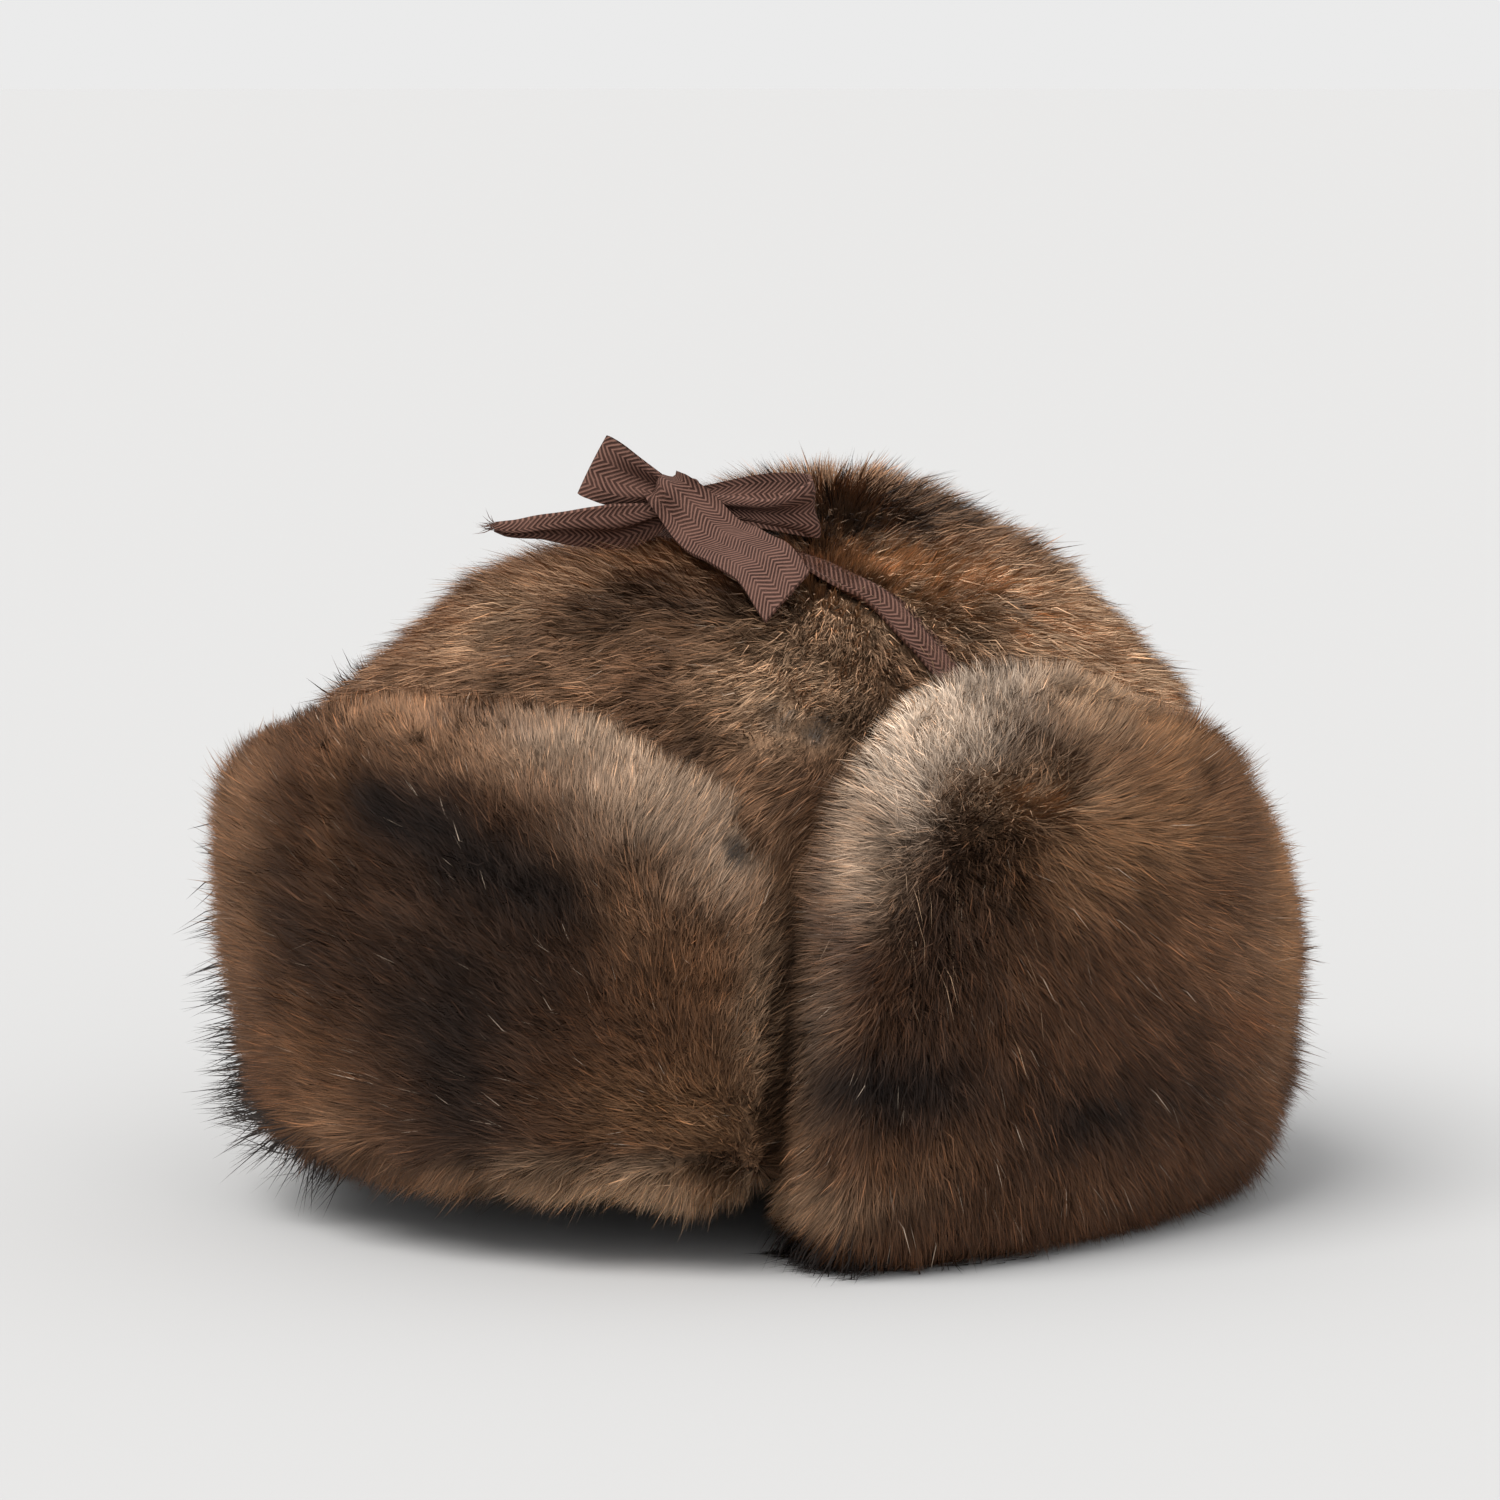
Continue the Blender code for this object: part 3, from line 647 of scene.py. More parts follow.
print("materials")
crownHairFinish = hairMaterial("crownHairs", {
    "specular": 0.15,
    "hair": {
        "Root Shade": 0.42, "Tip Shade": 0.8, "Spread": 0.8,
        "Pale Share": 0.003, "Dark Share": 0.12, "Warm Share": 0.07,
    },
})
flapHairFinish = hairMaterial("flapHairs", {
    "specular": 0.15,
    "hair": {
        "Root Shade": 0.42, "Tip Shade": 0.9, "Spread": 0.8,
        "Pale Share": 0.003, "Dark Share": 0.12, "Warm Share": 0.16,
    },
})
crownBaseFinish = underfurMaterial("crownUnderfur", {"tuftScale": 260.0, "fineScale": 1100.0})
flapBaseFinish = underfurMaterial("flapUnderfur", {"tuftScale": 240.0, "fineScale": 1100.0})
tapeFinish = tapeMaterial()
hideFinish = hideMaterial()
for slot in nodes["crown_wall"].material_slots:
    slot.material = hideFinish


# Tape
tape = {
    "width": 0.016, "thickness": 0.0009, "columns": 12, "steps": 8, "pleats": 1.5, "deepest": 0.0014,
    "turn": 42, "drop": 0.0018, "ripple": 0.00025, "tieLift": 0.0016, "tieSag": 0.0042,
}
# Bow pieces, in tape widths from the knot: right, up, forward, width share, and the direction across
loopRightRows = (
    (-0.22, 0.20, 0.05, 0.34, 0.45, 0.89, 0), (-0.88, 0.38, 0.15, 0.85, 0.45, 0.89, 0),
    (-1.26, 0.56, 0.12, 1, 0.45, 0.89, 0), (-1.38, 0.62, 0, 1, 0.45, 0.89, 0),
    (-1.26, 0.56, -0.12, 1, 0.45, 0.89, 0), (-0.88, 0.38, -0.15, 0.85, 0.45, 0.89, 0),
    (-0.22, 0.20, -0.05, 0.34, 0.45, 0.89, 0),
)
loopLeftRows = (
    (0.22, 0.06, -0.08, 0.40, -0.10, 0.90, -0.40), (1.00, 0.06, 0.00, 0.75, -0.10, 0.95, -0.30),
    (1.60, 0.06, 0.34, 0.92, -0.10, 1.00, -0.20), (2.02, 0.02, 0.76, 0.96, -0.16, 1.00, 0.00),
    (1.90, 0.00, 1.04, 0.80, -0.05, 0.95, 0.30), (1.40, -0.04, 0.98, 0.50, 0.00, 0.80, 0.60),
    (0.95, -0.02, 0.68, 0.40, 0.00, 0.80, 0.60), (0.22, 0.02, 0.16, 0.34, 0.00, 0.90, 0.40),
)
tailFrontRows = (
    (-0.34, 0.36, -0.02, 0.60, 0.80, 0.50, 0.00), (-0.24, 0.28, 0.38, 0.70, 0.80, 0.50, 0.00),
    (0.06, 0.00, 0.56, 0.86, 0.80, 0.50, 0.00), (0.42, -0.34, 1.10, 0.97, 0.80, 0.40, -0.20),
    (0.82, -0.50, 1.90, 1.00, 0.78, 0.42, -0.35), (1.24, -0.68, 2.70, 1.00, 0.76, 0.45, -0.38),
    (1.60, -1.12, 3.40, 1.00, 0.76, 0.45, -0.38),
)
tailRightRows = (
    (-0.22, -0.12, 0.06, 0.30, 0.10, 0.90, 0.30), (-0.95, -0.34, 0.16, 0.78, 0.06, 0.80, 0.60),
    (-1.50, -0.34, 0.16, 0.66, 0.06, 0.70, 0.70), (-2.10, -0.35, 0.06, 0.44, 0.20, 0.60, 0.80),
    (-2.55, -0.37, -0.02, 0.26, 0.20, 0.50, 0.80), (-2.90, -0.33, -0.08, 0.10, 0.20, 0.50, 0.80),
)
# Ties, in mm on the crown seen from above: x, y, width share. The last row is the end behind the ear flap.
tieLeftRows = (
    (1, -24.8, 0.7), (20, -22.4, 1.0), (40, -20.7, 0.92),
    (62, -20.1, 0.74), (84, -20.1, 0.62), (97.5, -20.1, 0.6),
)
tieRightRows = (
    (-1, -21.8, 0.8), (-20, -18.9, 1.0), (-40, -14.2, 1.0),
    (-62, -9.4, 0.95), (-84, -7.1, 0.9), (-97.5, -7.1, 0.9),
)
tapePlaces = []


# Stations along a table's rows, read smoothly
def readRows(rows):
    table = numbered(rows)
    columns = range(1, len(table[0]))
    stations = [k / tape["steps"] for k in range(tape["steps"] * (len(rows) - 1) + 1)]
    return np.array([[smooth(table, column, at) for column in columns] for at in stations])


# A tape through stations of middle, direction across and width. Where it narrows it gathers in pleats.
def ribbon(name, nodeName, middles, across, widths, options):
    ahead = np.gradient(middles, axis=0)
    across = unit(across - ahead * ((across * ahead).sum(axis=1) / (ahead * ahead).sum(axis=1))[:, None])
    face = unit(np.cross(ahead, across))
    steps = np.linalg.norm(np.diff(middles, axis=0), axis=1)
    run = np.concatenate([[0], np.cumsum(steps)])
    columns = tape["columns"]
    share = np.linspace(-0.5, 0.5, columns + 1)
    gathered = np.clip(widths / tape["width"], 0.3, 1)
    rate = 2 * math.pi * tape["pleats"] / widths
    depth = np.minimum(np.sqrt(2 * (1 / gathered**2 - 1)) / rate, tape["deepest"])
    wave = 2 * math.pi * tape["pleats"] * share[None] + options["phase"] + 0.5 * np.sin(run * 110)[:, None]
    push = options.get("pleatShare", 1) * depth[:, None] * np.sin(wave)
    push = push + tape["ripple"] * np.sin(run * 330 + options["phase"])[:, None] * (4 * share[None] ** 2)
    surface = middles[:, None] + across[:, None] * (widths[:, None] * share)[..., None]
    surface = surface + face[:, None] * push[..., None]
    slant = options.get("slant", 0) * (run / run[-1]) ** 2
    surface = surface - unit(ahead)[:, None] * (slant[:, None] * share)[..., None]
    thick = face[:, None] * tape["thickness"] / 2
    points = np.concatenate([(surface + thick).reshape(-1, 3), (surface - thick).reshape(-1, 3)])
    length, size = len(middles), len(middles) * (columns + 1)
    front = np.arange(size).reshape(length, columns + 1)
    rear = front + size

    def quads(a, b, c, d):
        a, b, c, d = (part.ravel() for part in (a, b, c, d))
        return np.concatenate([np.column_stack([a, b, c]), np.column_stack([a, c, d])])

    faces = np.concatenate([
        quads(front[:-1, :-1], front[1:, :-1], front[1:, 1:], front[:-1, 1:]),
        quads(rear[:-1, :-1], rear[:-1, 1:], rear[1:, 1:], rear[1:, :-1]),
        quads(front[:-1, 0], rear[:-1, 0], rear[1:, 0], front[1:, 0]),
        quads(front[:-1, -1], front[1:, -1], rear[1:, -1], rear[:-1, -1]),
        quads(front[0, :-1], front[0, 1:], rear[0, 1:], rear[0, :-1]),
        quads(front[-1, :-1], rear[-1, :-1], rear[-1, 1:], front[-1, 1:]),
    ])
    uv = np.broadcast_arrays(run[:, None], (share[None] + 0.5) * tape["width"])
    uv = np.tile(np.stack(uv, axis=-1).reshape(-1, 2), (2, 1))
    mesh = trianglesMesh(name, points, faces, {"tape": uv[faces]})
    mesh.shade_smooth()
    mesh.set_sharp_from_angle(angle=math.radians(50))
    obj = placeObject(name, mesh, tapeFinish)
    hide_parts(nodeName)
    flat = (tape["width"], round(float(run[-1]), 4))
    corners = points[faces[: 2 * (length - 1) * columns]]
    sides = np.cross(corners[:, 1] - corners[:, 0], corners[:, 2] - corners[:, 0])
    made = np.linalg.norm(sides, axis=1).sum() / 2
    cut = options.get("cut", 1)
    areaShare = round(float(made / (flat[0] * flat[1] * cut)), 2)
    print(name, "flat", flat, "share of the flat area", areaShare)
    tapePlaces.extend(middles[::2])
    return surface, ahead


knotPoints, _, _ = meshArrays(nodes["bow_knot"])
knotMiddle = (knotPoints.min(axis=0) + knotPoints.max(axis=0)) / 2 - (0, 0, tape["drop"])
bowTurn = math.radians(tape["turn"])
bowAxes = np.array([
    [math.cos(bowTurn), math.sin(bowTurn), 0], [0, 0, 1], [math.sin(bowTurn), -math.cos(bowTurn), 0],
])


def bowPiece(name, nodeName, rows, options):
    read = readRows(rows)
    middles = knotMiddle + read[:, :3] @ bowAxes * tape["width"]
    across = read[:, 4:] @ bowAxes
    widths = read[:, 3] * tape["width"]
    return ribbon(name, nodeName, middles, across, widths, options)


crownPoints, crownTriangles, _ = meshArrays(nodes["crown_fur"])
crownShape = BVHTree.FromPolygons(crownPoints.tolist(), crownTriangles.tolist())


# Each value as the mean of its neighbours
def evened(values, rounds):
    for _ in range(rounds):
        padded = np.concatenate([values[:1], values, values[-1:]])
        values = (padded[:-2] + padded[1:-1] * 2 + padded[2:]) / 4
    return values


# A tape laid on the crown through rows of x and y in mm and width share, sagging into the fur
def tie(name, nodeName, rows, options):
    read = readRows(rows)
    middles, normals = [], []
    for x, y, _ in read:
        place, normal, _, _ = crownShape.ray_cast((x / 1000, y / 1000, 0.4), (0, 0, -1))
        middles.append(place if place else (x / 1000, y / 1000, 0.130))
        normals.append(normal if place else (math.copysign(1, x), 0, 0.3))
    middles, normals = np.array(middles), unit(evened(np.array(normals), 12))
    middles[:, 2] = evened(middles[:, 2], 6)
    sag = tape["tieSag"] * np.sin(np.linspace(0, math.pi, len(middles)))
    middles = middles + normals * (tape["tieLift"] - sag)[:, None]
    across = np.cross(normals, np.gradient(middles, axis=0))
    widths = read[:, 2] * tape["width"]
    return ribbon(name, nodeName, middles, across, widths, options)


# The knot: a rounded block with folds slanting round it
def bowKnot():
    settings = {
        "half": (0.0058, 0.0066, 0.0056), "square": 0.7, "folds": 5, "fold": 0.0004,
        "columns": 64, "rings": 40,
    }
    columns, rings = settings["columns"], settings["rings"]
    width, height, depth = settings["half"]
    turn = np.linspace(0, 2 * math.pi, columns + 1)[:-1][None]
    tilt = np.linspace(0.02, math.pi - 0.02, rings)[:, None]
    parts = np.broadcast_arrays(np.cos(turn) * np.sin(tilt), np.cos(tilt), np.sin(turn) * np.sin(tilt))
    parts = np.stack(parts, axis=-1)
    round3 = np.sign(parts) * np.abs(parts) ** settings["square"]
    fold = settings["fold"] / depth * np.sin(settings["folds"] * (turn + tilt * 1.4))
    fold = 1 + fold[..., None] * np.sin(tilt)[..., None]
    points = knotMiddle + (round3 * settings["half"] * fold).reshape(-1, 3) @ bowAxes
    grid = np.arange(rings * columns).reshape(rings, columns)
    nextOne = np.roll(grid, -1, axis=1)
    quads = [(grid[:-1], nextOne[:-1], nextOne[1:]), (grid[:-1], nextOne[1:], grid[1:])]
    faces = np.concatenate([np.stack([part.ravel() for part in row], axis=1) for row in quads])
    poles = np.array([points[grid[0]].mean(axis=0), points[grid[-1]].mean(axis=0)])
    points = np.concatenate([points, poles])
    top = np.column_stack([np.full(columns, len(points) - 2), nextOne[0], grid[0]])
    low = np.column_stack([np.full(columns, len(points) - 1), grid[-1], nextOne[-1]])
    faces = np.concatenate([faces, top, low])
    arc = np.broadcast_to(turn * width, (rings, columns)).ravel()
    down = np.broadcast_to(tilt * (width + height) / 2, (rings, columns)).ravel()
    uv = np.column_stack([np.append(down, [0, 0]), np.append(arc, [0, 0])])
    wrap = uv[faces]
    girth = 2 * math.pi * width
    wide = wrap[:, :, 1].max(axis=1) - wrap[:, :, 1].min(axis=1) > 0.02
    wrap[wide, :, 1] = np.where(wrap[wide, :, 1] < 0.01, wrap[wide, :, 1] + girth, wrap[wide, :, 1])
    mesh = trianglesMesh("bowKnot", points, faces, {"tape": wrap})
    mesh.shade_smooth()
    obj = placeObject("bowKnot", mesh, tapeFinish)
    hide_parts("bow_knot")
    tapePlaces.append(knotMiddle - (0, 0, 0.006))


# Loose threads at a cut end
def fray(name, ends, settings):
    chance = np.random.default_rng(settings["seed"])
    points = []
    for (surface, ahead), count, length in ends:
        last = surface[-1]
        along = unit(ahead[-1])
        for _ in range(count):
            at = chance.random() * (len(last) - 1)
            low = int(at)
            root = last[low] + (last[low + 1] - last[low]) * (at - low) - along * 0.0004
            way = unit(along + chance.normal(0, settings["stray"], 3))
            bend = unit(way + chance.normal(0, settings["stray"], 3))
            long = length * (0.3 + 0.9 * chance.random())
            middle = root + way * long * 0.5
            tip = middle + bend * long * 0.5
            side = unit(np.cross(way, chance.normal(0, 1, 3))) * settings["width"] / 2
            points += [root - side, root + side, middle - side, middle + side, tip]
    start = np.arange(len(points) // 5)[:, None, None] * 5
    faces = (start + np.array([[[0, 1, 3], [0, 3, 2], [2, 3, 4]]])).reshape(-1, 3)
    uv = np.repeat(chance.random((len(faces) // 3, 2)) * 0.01, 9, axis=0).reshape(-1, 3, 2)
    mesh = trianglesMesh(name, np.array(points), faces, {"tape": uv})
    placeObject(name, mesh, tapeFinish)


print("tape")
bowKnot()
bowPiece("loopRightTape", "bow_loop_right", loopRightRows, {"phase": 0.4})
bowPiece("loopLeftTape", "bow_loop_left", loopLeftRows,
         {"phase": 2.0, "pleatShare": 0.5})
frontEnd = bowPiece("tailFrontTape", "bow_tail_front", tailFrontRows,
                    {"phase": 1.1, "slant": 0.010})
rightEnd = bowPiece("tailRightTape", "bow_tail_right", tailRightRows,
                    {"phase": 2.7, "cut": 0.72})
tie("tieLeftTape", "ear_tie_left", tieLeftRows, {"phase": 0.3})
tie("tieRightTape", "ear_tie_right", tieRightRows, {"phase": 1.3})
fray("tapeFray", ((rightEnd, 26, 0.006), (frontEnd, 60, 0.0012)),
     {"seed": 5, "stray": 0.28, "width": 0.00022})
tapeTree = KDTree(len(tapePlaces))
for place, point in enumerate(tapePlaces):
    tapeTree.insert(point, place)
tapeTree.balance()


# How far the tape presses the fur here, 0 to 1
def underTape(places, reach):
    away = np.array([tapeTree.find(place)[2] for place in places])
    return np.clip((reach - away) / (reach * 0.35), 0, 1)


# Crown
crownPatches = {
    "base": "tan", "wander": 0.005, "mottle": 1.0,
    "patches": (
        # The wearer's right shoulder
        (-20, -76, 152, 20, "straw", 0.6), (-40, -80, 140, 22, "tan", 0.6),
        (-45, -50, 158, 22, "tan", 0.6),
        # Crease: painted shade along it, its top end also part of the front tail's painted shadow
        (14, -58, 161, 10, "dark", 0.9), (13, -72, 154, 9, "dark", 0.85), (8, -86, 144, 8, "dark", 0.7),
        # Centre, below and behind the bow. The two dark patches just under the front tail are its painted
        # shadow
        (32, -62, 156, 15, "dark", 0.9), (45, -55, 156, 11, "dark", 0.6),
        (20, -95, 138, 14, "tan", 0.7), (42, -83, 138, 15, "brown", 0.8),
        (58, -86, 124, 12, "brown", 0.8), (0, -20, 172, 18, "brown", 0.5),
        # Taupe round with its nick
        (70, -60, 135, 18, "straw", 0.95), (84, -50, 130, 9, "dark", 0.9),
        (82, -66, 112, 14, "brown", 0.9),
        # Right of the bow
        (60, -36, 155, 15, "straw", 0.75), (60, -5, 158, 22, "straw", 0.75),
        (78, 25, 146, 30, "straw", 0.85), (62, 65, 140, 30, "straw", 0.7),
        (45, -22, 163, 6, "mid", 0.7),
        # Dark tuft and ridge on top
        (30, 2, 168, 15, "taupe", 0.75), (50, -2, 161, 14, "straw", 0.85),
        (20, 11, 178, 12, "slate", 0.6), (22, 44, 176, 14, "slate", 0.5),
        (-20, 10, 174, 16, "brown", 0.7),
        # Back and the wearer's right, which don't show
        (-60, 10, 155, 26, "tan", 0.7), (-45, 62, 150, 28, "straw", 0.5),
        (80, 62, 132, 20, "straw", 0.9), (-10, 90, 150, 24, "brown", 0.6),
        (0, 118, 110, 26, "mid", 0.7),
    ),
}
crownComb = (
    (0, -100, -6, 30), (-60, -70, 0, 34), (60, -85, -26, 32), (0, -62, -12, 30), (-40, -40, -6, 34),
    (35, -62, -30, 28), (60, -45, -22, 36), (-90, 0, 10, 42), (90, 0, 0, 42), (0, -10, -10, 36),
    (58, 5, 0, 38), (30, 0, 0, 36),
    (-50, 30, 10, 46), (0, 45, 0, 54), (60, 70, -5, 46), (-60, 70, 5, 46), (0, 110, 0, 42),
)


def crownTint(places):
    return coatTint(places, crownPatches, awayInSpace)


def crownFlow(places, normals):
    return combCrown(places, normals, crownComb, 22)


def crownKeep(front):
    def keep(places, normals):
        away = unit(places - np.array([0, 0, 0.05]))
        outside = (away * normals).sum(axis=1) > 0.15
        half = places[:, 1] < 0.02 if front else places[:, 1] >= 0.02
        return outside & half & (places[:, 2] > 0.078)
    return keep


print("crown")
crownBase = underfur("crownUnderfur", "crown_fur", {
    "voxel": 0.0045, "relax": 8, "inset": 0.0065, "shade": 0.8, "heart": (0, 0, 0.03),
}, crownBaseFinish, crownTint)
crownHair = {
    "seed": 11, "length": 0.0145, "guardShare": 0.035, "guardLength": 1.3, "liftSpread": 34, "stray": 0.16,
    "wave": 0.32, "waveSize": 0.014, "sink": 0.001, "locks": ((260, 0.2), (22, 0.34)), "roll": 60,
    "width": 0.00025, "softness": 0.75, "spread": 0.35, "bentShare": 0.13, "cellShare": 3, "press": 0.0072,
    "lockSpread": 0.5,
}
density = 1.0


def hairs(count):
    return int(count * density)


hairCoat("crownHairFront", crownBase, hairs(146000), crownHair, crownFlow, crownTint, crownKeep(True),
         crownHairFinish)
hairCoat("crownHairBack", crownBase, hairs(84000), {**crownHair, "seed": 12, "width": 0.00032},
         crownFlow, crownTint, crownKeep(False), crownHairFinish)


# Flaps
flapPatches = {
    "base": "brown", "wander": 0.0035, "mottle": 0.8,
    "patches": (
        # Front flap, from the wearer's right to the cleft
        (-45, 85, 18, 45, "tan", 0.9), (-24, 95, 9, 26, "tan", 0.75), (-12, 76, 8, 30, "dark", 0.85),
        (-3, 109, 5, 15, "mid", 0.8), (8, 64, 16, 44, "dark", 0.95), (22, 78, 11, 18, "dark", 0.8),
        (4, 110, 7, 8, "black", 1.0), (10, 106, 8, 9, "black", 1.0), (17, 100, 8, 9, "black", 1.0),
        (23, 94, 7, 9, "black", 1.0), (29, 88, 6, 9, "black", 0.8), (13, 50, 6, 30, "black", 0.8),
        (3, 132, 14, 9, "tan", 0.9), (18, 124, 9, 6, "tan", 0.85), (30, 128, 12, 9, "taupe", 0.9),
        (38, 116, 9, 13, "taupe", 0.95), (44, 100, 6, 14, "taupe", 0.8), (49, 84, 4, 12, "tan", 0.8),
        (36, 88, 5, 14, "tan", 0.6), (40, 70, 8, 22, "mid", 0.8), (49, 60, 4, 26, "straw", 0.7),
        (40, 40, 11, 12, "gold", 0.7), (-14, 46, 9, 14, "mid", 0.8), (-12, 28, 9, 9, "tan", 0.7),
        (33, 26, 16, 2.2, "dark", 0.75), (32, 18, 20, 7, "straw", 1.0), (5, 17, 12, 6, "tan", 0.8),
        # Left ear
        (64, 80, 7, 18, "dark", 0.7), (66, 131, 10, 14, "cream", 1.0), (60, 118, 5, 12, "cream", 0.85),
        (57, 102, 3.5, 14, "taupe", 0.95), (80, 138, 13, 8, "cream", 0.6),
        (93, 131, 11, 9, "straw", 0.8), (104, 118, 9, 9, "gold", 0.8), (66, 98, 5, 11, "dark", 0.6),
        (77, 112, 8, 8, "straw", 0.9), (88, 100, 14, 16, "gold", 0.85), (78, 74, 9, 12, "mid", 0.2),
        (98, 76, 9, 16, "mid", 0.7), (110, 66, 8, 30, "tan", 0.8), (118, 78, 6, 38, "gold", 0.9),
        (107, 50, 5, 10, "russet", 0.6), (59, 45, 11, 10, "black", 1.0), (51, 64, 3.5, 30, "dark", 0.8),
        (83, 33, 8, 9, "black", 0.95), (98, 36, 8, 10, "dark", 0.65), (63, 27, 8, 6, "mid", 0.6),
        (80, 16, 9, 6, "mid", 0.15),
        # Neck
        (140, 60, 15, 25, "mid", 0.6), (165, 76, 14, 14, "tan", 0.7), (180, 40, 10, 30, "dark", 0.8),
        (200, 70, 12, 14, "tan", 0.6), (216, 35, 14, 18, "russet", 0.6),
        # Right ear
        (240, 62, 14, 30, "dark", 0.6), (262, 118, 16, 16, "taupe", 0.8), (285, 88, 12, 22, "mid", 0.7),
        (270, 40, 12, 16, "black", 0.7), (300, 55, 7, 25, "dark", 0.8),
    ),
}
frontComb = (
    (-49, 115, -55, 55), (-49, 80, -82, 55), (-49, 45, -98, 55), (-46, 20, -130, 52),
    (-30, 128, -20, 58), (-30, 100, -35, 48), (-30, 60, -52, 47), (-30, 30, -75, 48), (-28, 17, -140, 48),
    (-5, 132, -5, 60), (-5, 100, -14, 45), (-5, 60, -24, 44), (-5, 30, -42, 45), (-5, 16, -150, 50),
    (22, 130, 6, 60), (22, 95, -8, 44), (22, 55, -15, 43), (22, 30, -25, 45), (22, 16, -150, 50),
    (42, 110, 25, 56), (44, 80, 8, 48), (45, 50, -4, 46), (45, 30, -10, 47), (42, 16, -150, 50),
)
leftComb = (
    (52, 70, -95, 55), (52, 30, -115, 55), (54, 92, -80, 55), (57, 112, -60, 60), (64, 130, -30, 64),
    (78, 140, 0, 66), (92, 136, 20, 64), (104, 124, 40, 62), (116, 108, 70, 58),
    (70, 120, -60, 76), (84, 124, 0, 80), (97, 117, 70, 76),
    (64, 98, -135, 52), (64, 70, -150, 46), (64, 40, -160, 46), (64, 12, -170, 46),
    (76, 98, -175, 52), (78, 60, 178, 44), (78, 15, 185, 46),
    (90, 100, 150, 50), (92, 65, 155, 44), (92, 28, 165, 46),
    (106, 92, 118, 50), (106, 58, 130, 47), (106, 22, 150, 47),
    (120, 78, 100, 50), (120, 45, 112, 49), (120, 14, 140, 48),
)
rightComb = tuple((360 - spot, height * 0.94, -turn, lift) for spot, height, turn, lift in leftComb)
neckComb = (
    (142, 72, 60, 52), (142, 40, 95, 48), (142, 12, 135, 47),
    (165, 80, 20, 55), (165, 45, 50, 46), (165, 14, 130, 46),
    (180, 84, 0, 57), (180, 48, 0, 46), (180, 14, 180, 47),
    (195, 80, -20, 55), (195, 45, -50, 46), (195, 14, -130, 46),
    (218, 72, -60, 52), (218, 40, -95, 48), (218, 12, -135, 47),
)


def flapTint(places):
    return coatTint(places, flapPatches, awayRound)


def flapFlow(spots):
    def flow(places, normals):
        return combFlap(places, normals, spots, 16)
    return flow


# Outside and rim of a flap between two angles, down to a little below the rim on its inner side.
def flapKeep(start, end, topDrop):
    def keep(places, normals):
        degrees, height = roundHead(places)
        turn = wrapped(degrees - (start + end) / 2)
        inside = np.abs(turn) < (end - start) / 2
        radial = unit(places * (1, 1, 0))
        outward = (radial * normals).sum(axis=1)
        shown = (outward > -0.25) | (height > topDrop)
        return inside & shown & ~((height < 4) & (normals[:, 2] < -0.6))
    return keep


print("flaps")
frontBase = underfur("frontUnderfur", "front_flap", {
    "voxel": 0.004, "relax": 8, "inset": 0.0062, "shade": 0.85, "heart": (0, -0.03, 0.07),
}, flapBaseFinish, flapTint)
earBase = underfur("earUnderfur", "ear_neck_flap", {
    "voxel": 0.0045, "relax": 8, "inset": 0.0062, "shade": 0.85, "heart": (0, 0.0, 0.07),
}, flapBaseFinish, flapTint)


# Shorter hair at the flaps' tops and beside the clefts
def flapLength(places):
    degrees, height = roundHead(places)
    turn = wrapped(degrees)
    beside = np.exp(-((np.abs(np.abs(turn) - 51) / 5) ** 2))
    top = np.clip((height - np.where(np.abs(turn) < 50, 104, 112)) / 16, 0, 1) * (np.abs(turn) < 130)
    return (1 - 0.5 * top) * (1 - 0.42 * beside)


flapHair = {
    "lengthAt": flapLength,
    "seed": 21, "length": 0.0125, "guardShare": 0.03, "guardLength": 1.35, "liftSpread": 36, "stray": 0.2,
    "wave": 0.3, "waveSize": 0.014, "sink": 0.001, "locks": ((160, 0.14), (14, 0.22)), "roll": 60,
    "width": 0.00023, "softness": 0.75, "spread": 0.3, "bentShare": 0.13, "cellShare": 3, "press": 0.006,
    "lockSpread": 0.28,
}
backHair = {**flapHair, "width": 0.00032, "length": 0.0135}
hairCoat("frontHair", frontBase, hairs(146000), flapHair, flapFlow(frontComb), flapTint,
         flapKeep(-60, 60, 104), flapHairFinish)
hairCoat("leftEarHair", earBase, hairs(146000), {**flapHair, "seed": 22},
         flapFlow(leftComb + neckComb), flapTint, flapKeep(40, 128, 108), flapHairFinish)
hairCoat("neckHair", earBase, hairs(78000), {**backHair, "seed": 23},
         flapFlow(leftComb + neckComb + rightComb), flapTint, flapKeep(128, 232, 72),
         flapHairFinish)
hairCoat("rightEarHair", earBase, hairs(78000), {**backHair, "seed": 24},
         flapFlow(rightComb + neckComb), flapTint, flapKeep(232, 320, 96), flapHairFinish)


# Long guard hairs
guardHair = {
    "seed": 31, "length": 0.022, "guardShare": 0.0, "guardLength": 1, "liftSpread": 30, "stray": 0.16,
    "wave": 0.2, "waveSize": 0.02, "sink": 0.001, "locks": ((6, 0.45),), "roll": 60,
    "width": 0.00032, "softness": 0.7, "spread": 0.4, "bentShare": 1.0, "cellShare": 1, "press": 0.004,
    "lockSpread": 0.1,
}
guardFinish = hairMaterial("guardHairs", {
    "specular": 0.25,
    "hair": {
        "Root Shade": 0.8, "Tip Shade": 0.8, "Spread": 0.4,
        "Pale Share": 0.0, "Dark Share": 0.1, "Warm Share": 0.0,
    },
})


# Soft zones where guard hairs grow: degrees, height, half widths, share
def guardKeep(zones):
    def keep(places, normals):
        share = sum(zone[4] * np.exp(-awayRound(places, zone) ** 1.5) for zone in zones)
        radial = unit(places * (1, 1, 0))
        return np.where((radial * normals).sum(axis=1) > -0.1, share, 0)
    return keep


def plainTint(tone):
    def tint(places):
        return np.tile(linear(tones[tone]), (len(places), 1))
    return tint


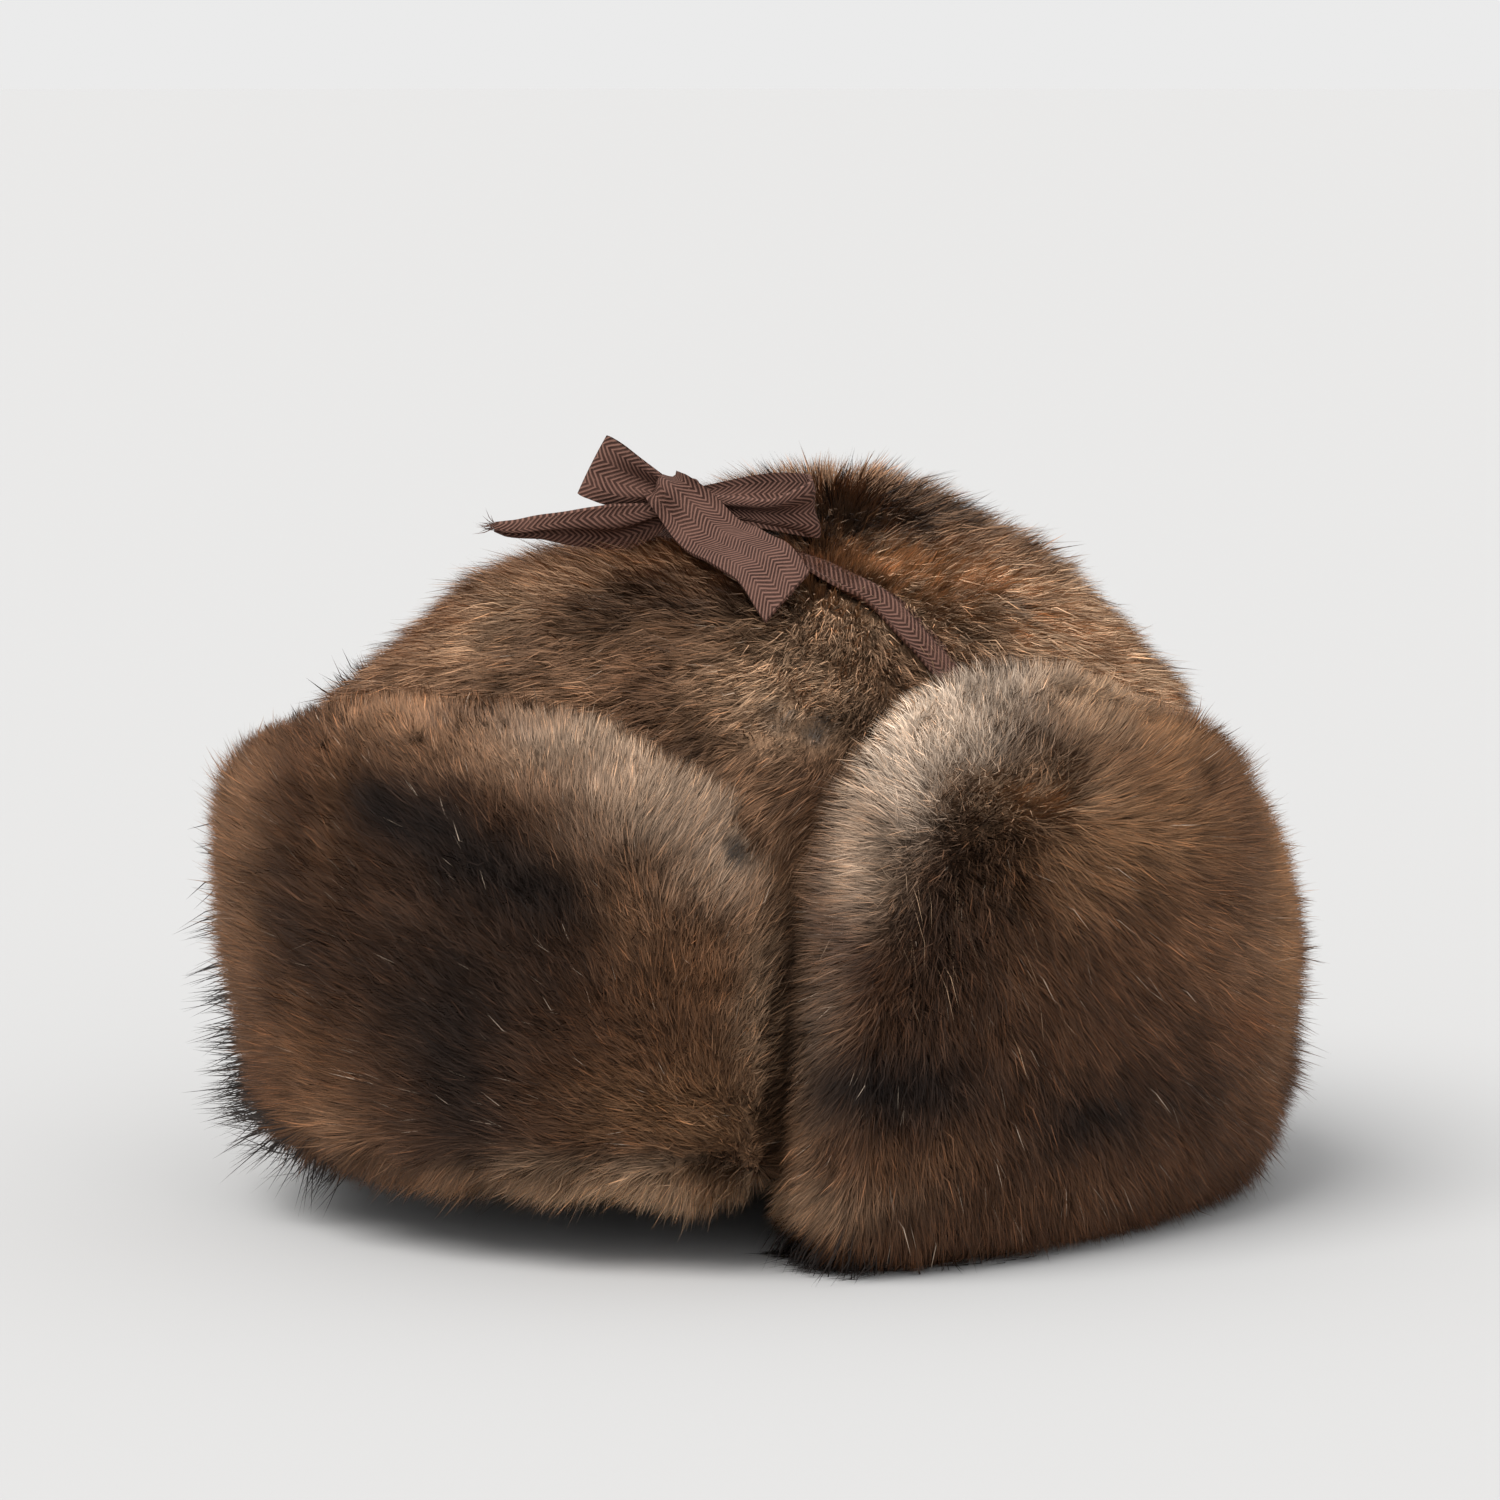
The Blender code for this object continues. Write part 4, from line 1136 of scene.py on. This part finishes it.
def steadyComb(turn, lift):
    def flow(places, normals):
        return combFlap(places, normals, ((0, 0, turn, lift),), 1000)
    return flow


# The crown's guard hairs grow on its top
def topKeep(places, normals):
    return (places[:, 2] > 0.162) * (normals[:, 2] > 0.2)


print("guard hairs")
frontZones = ((-48, 50, 9, 16, 1.0), (-40, 30, 9, 9, 1.2), (-24, 26, 6, 5, 0.8), (-48, 90, 8, 25, 0.25))
earZones = ((56, 6, 5, 6, 1.2), (64, 5, 6, 5, 0.8), (76, 4, 8, 4, 0.3))
paleZones = ((66, 84, 9, 14, 1.0), (78, 66, 9, 10, 0.5))
hairCoat("frontGuards", frontBase, 1300, {**guardHair, "length": 0.025},
         steadyComb(-104, 48), plainTint("black"), guardKeep(frontZones), guardFinish)
hairCoat("earGuards", earBase, 1300, {**guardHair, "seed": 32, "length": 0.023},
         steadyComb(-160, 56), plainTint("black"), guardKeep(earZones), guardFinish)
hairCoat("paleGuards", earBase, 45,
         {**guardHair, "seed": 33, "length": 0.015, "locks": (), "width": 0.00018},
         steadyComb(-170, 30), plainTint("straw"), guardKeep(paleZones), guardFinish)
hairCoat("crownGuards", crownBase, 3000,
         {**guardHair, "seed": 34, "length": 0.0145, "width": 0.00026},
         crownFlow, plainTint("black"), topKeep, guardFinish)


# Stage, light and camera
print("stage")
camera = {"azimuth": 42.0, "elevation": 6.5, "distance": 1.6, "lens": 151.7, "aimUp": 0.1101}
azimuth, elevation = math.radians(camera["azimuth"]), math.radians(camera["elevation"])
level = math.cos(elevation)
back = Vector((math.sin(azimuth) * level, -math.cos(azimuth) * level, math.sin(elevation)))
right = Vector((math.cos(azimuth), math.sin(azimuth), 0))
up = back.cross(right)
lens = bpy.data.cameras.new("camera")
lens.lens = camera["lens"]
lens.sensor_width = 36
viewer = bpy.data.objects.new("camera", lens)
viewer.location = up * camera["aimUp"] + back * camera["distance"]
viewer.rotation_euler = back.to_track_quat("Z", "Y").to_euler()
bpy.context.scene.collection.objects.link(viewer)
bpy.context.scene.camera = viewer


def makeFloor():
    settings = {"around": 96, "radius": 30.0, "albedo": 0.485, "roughness": 0.95}
    around, radius = settings["around"], settings["radius"]
    turns = [2 * math.pi * i / around for i in range(around)]
    points = [(radius * math.cos(turn), radius * math.sin(turn), 0) for turn in turns]
    mesh = bpy.data.meshes.new("floor")
    mesh.from_pydata(points, [], [list(range(around))])
    material = newMaterial("paleFloor", {
        "Base Color": (*[settings["albedo"]] * 3, 1), "Roughness": settings["roughness"],
        "Specular IOR Level": 0.0,
    })[0]
    mesh.materials.append(material)
    obj = bpy.data.objects.new("floor", mesh)
    bpy.context.scene.collection.objects.link(obj)


def addSun(name, settings):
    light = bpy.data.lights.new(name, "SUN")
    light.angle = math.radians(settings["angle"])
    light.energy = settings["energy"]
    light.color = settings["tint"]
    obj = bpy.data.objects.new(name, light)
    obj.rotation_euler = Vector(settings["from"]).to_track_quat("Z", "Y").to_euler()
    bpy.context.scene.collection.objects.link(obj)


makeFloor()
addSun("key", {"angle": 40, "energy": 2.9, "tint": (1.0, 0.985, 0.965), "from": (0.0, -0.75, 1.0)})
addSun("fill", {"angle": 60, "energy": 0.9, "tint": (0.99, 0.99, 1.0), "from": (0.9, -0.8, 0.6)})
world = bpy.data.worlds.new("studio")
world.use_nodes = True
world.node_tree.nodes["Background"].inputs["Color"].default_value = (1.0, 1.0, 1.0, 1)
world.node_tree.nodes["Background"].inputs["Strength"].default_value = 0.83
bpy.context.scene.world = world
bpy.context.scene.view_settings.view_transform = "Standard"
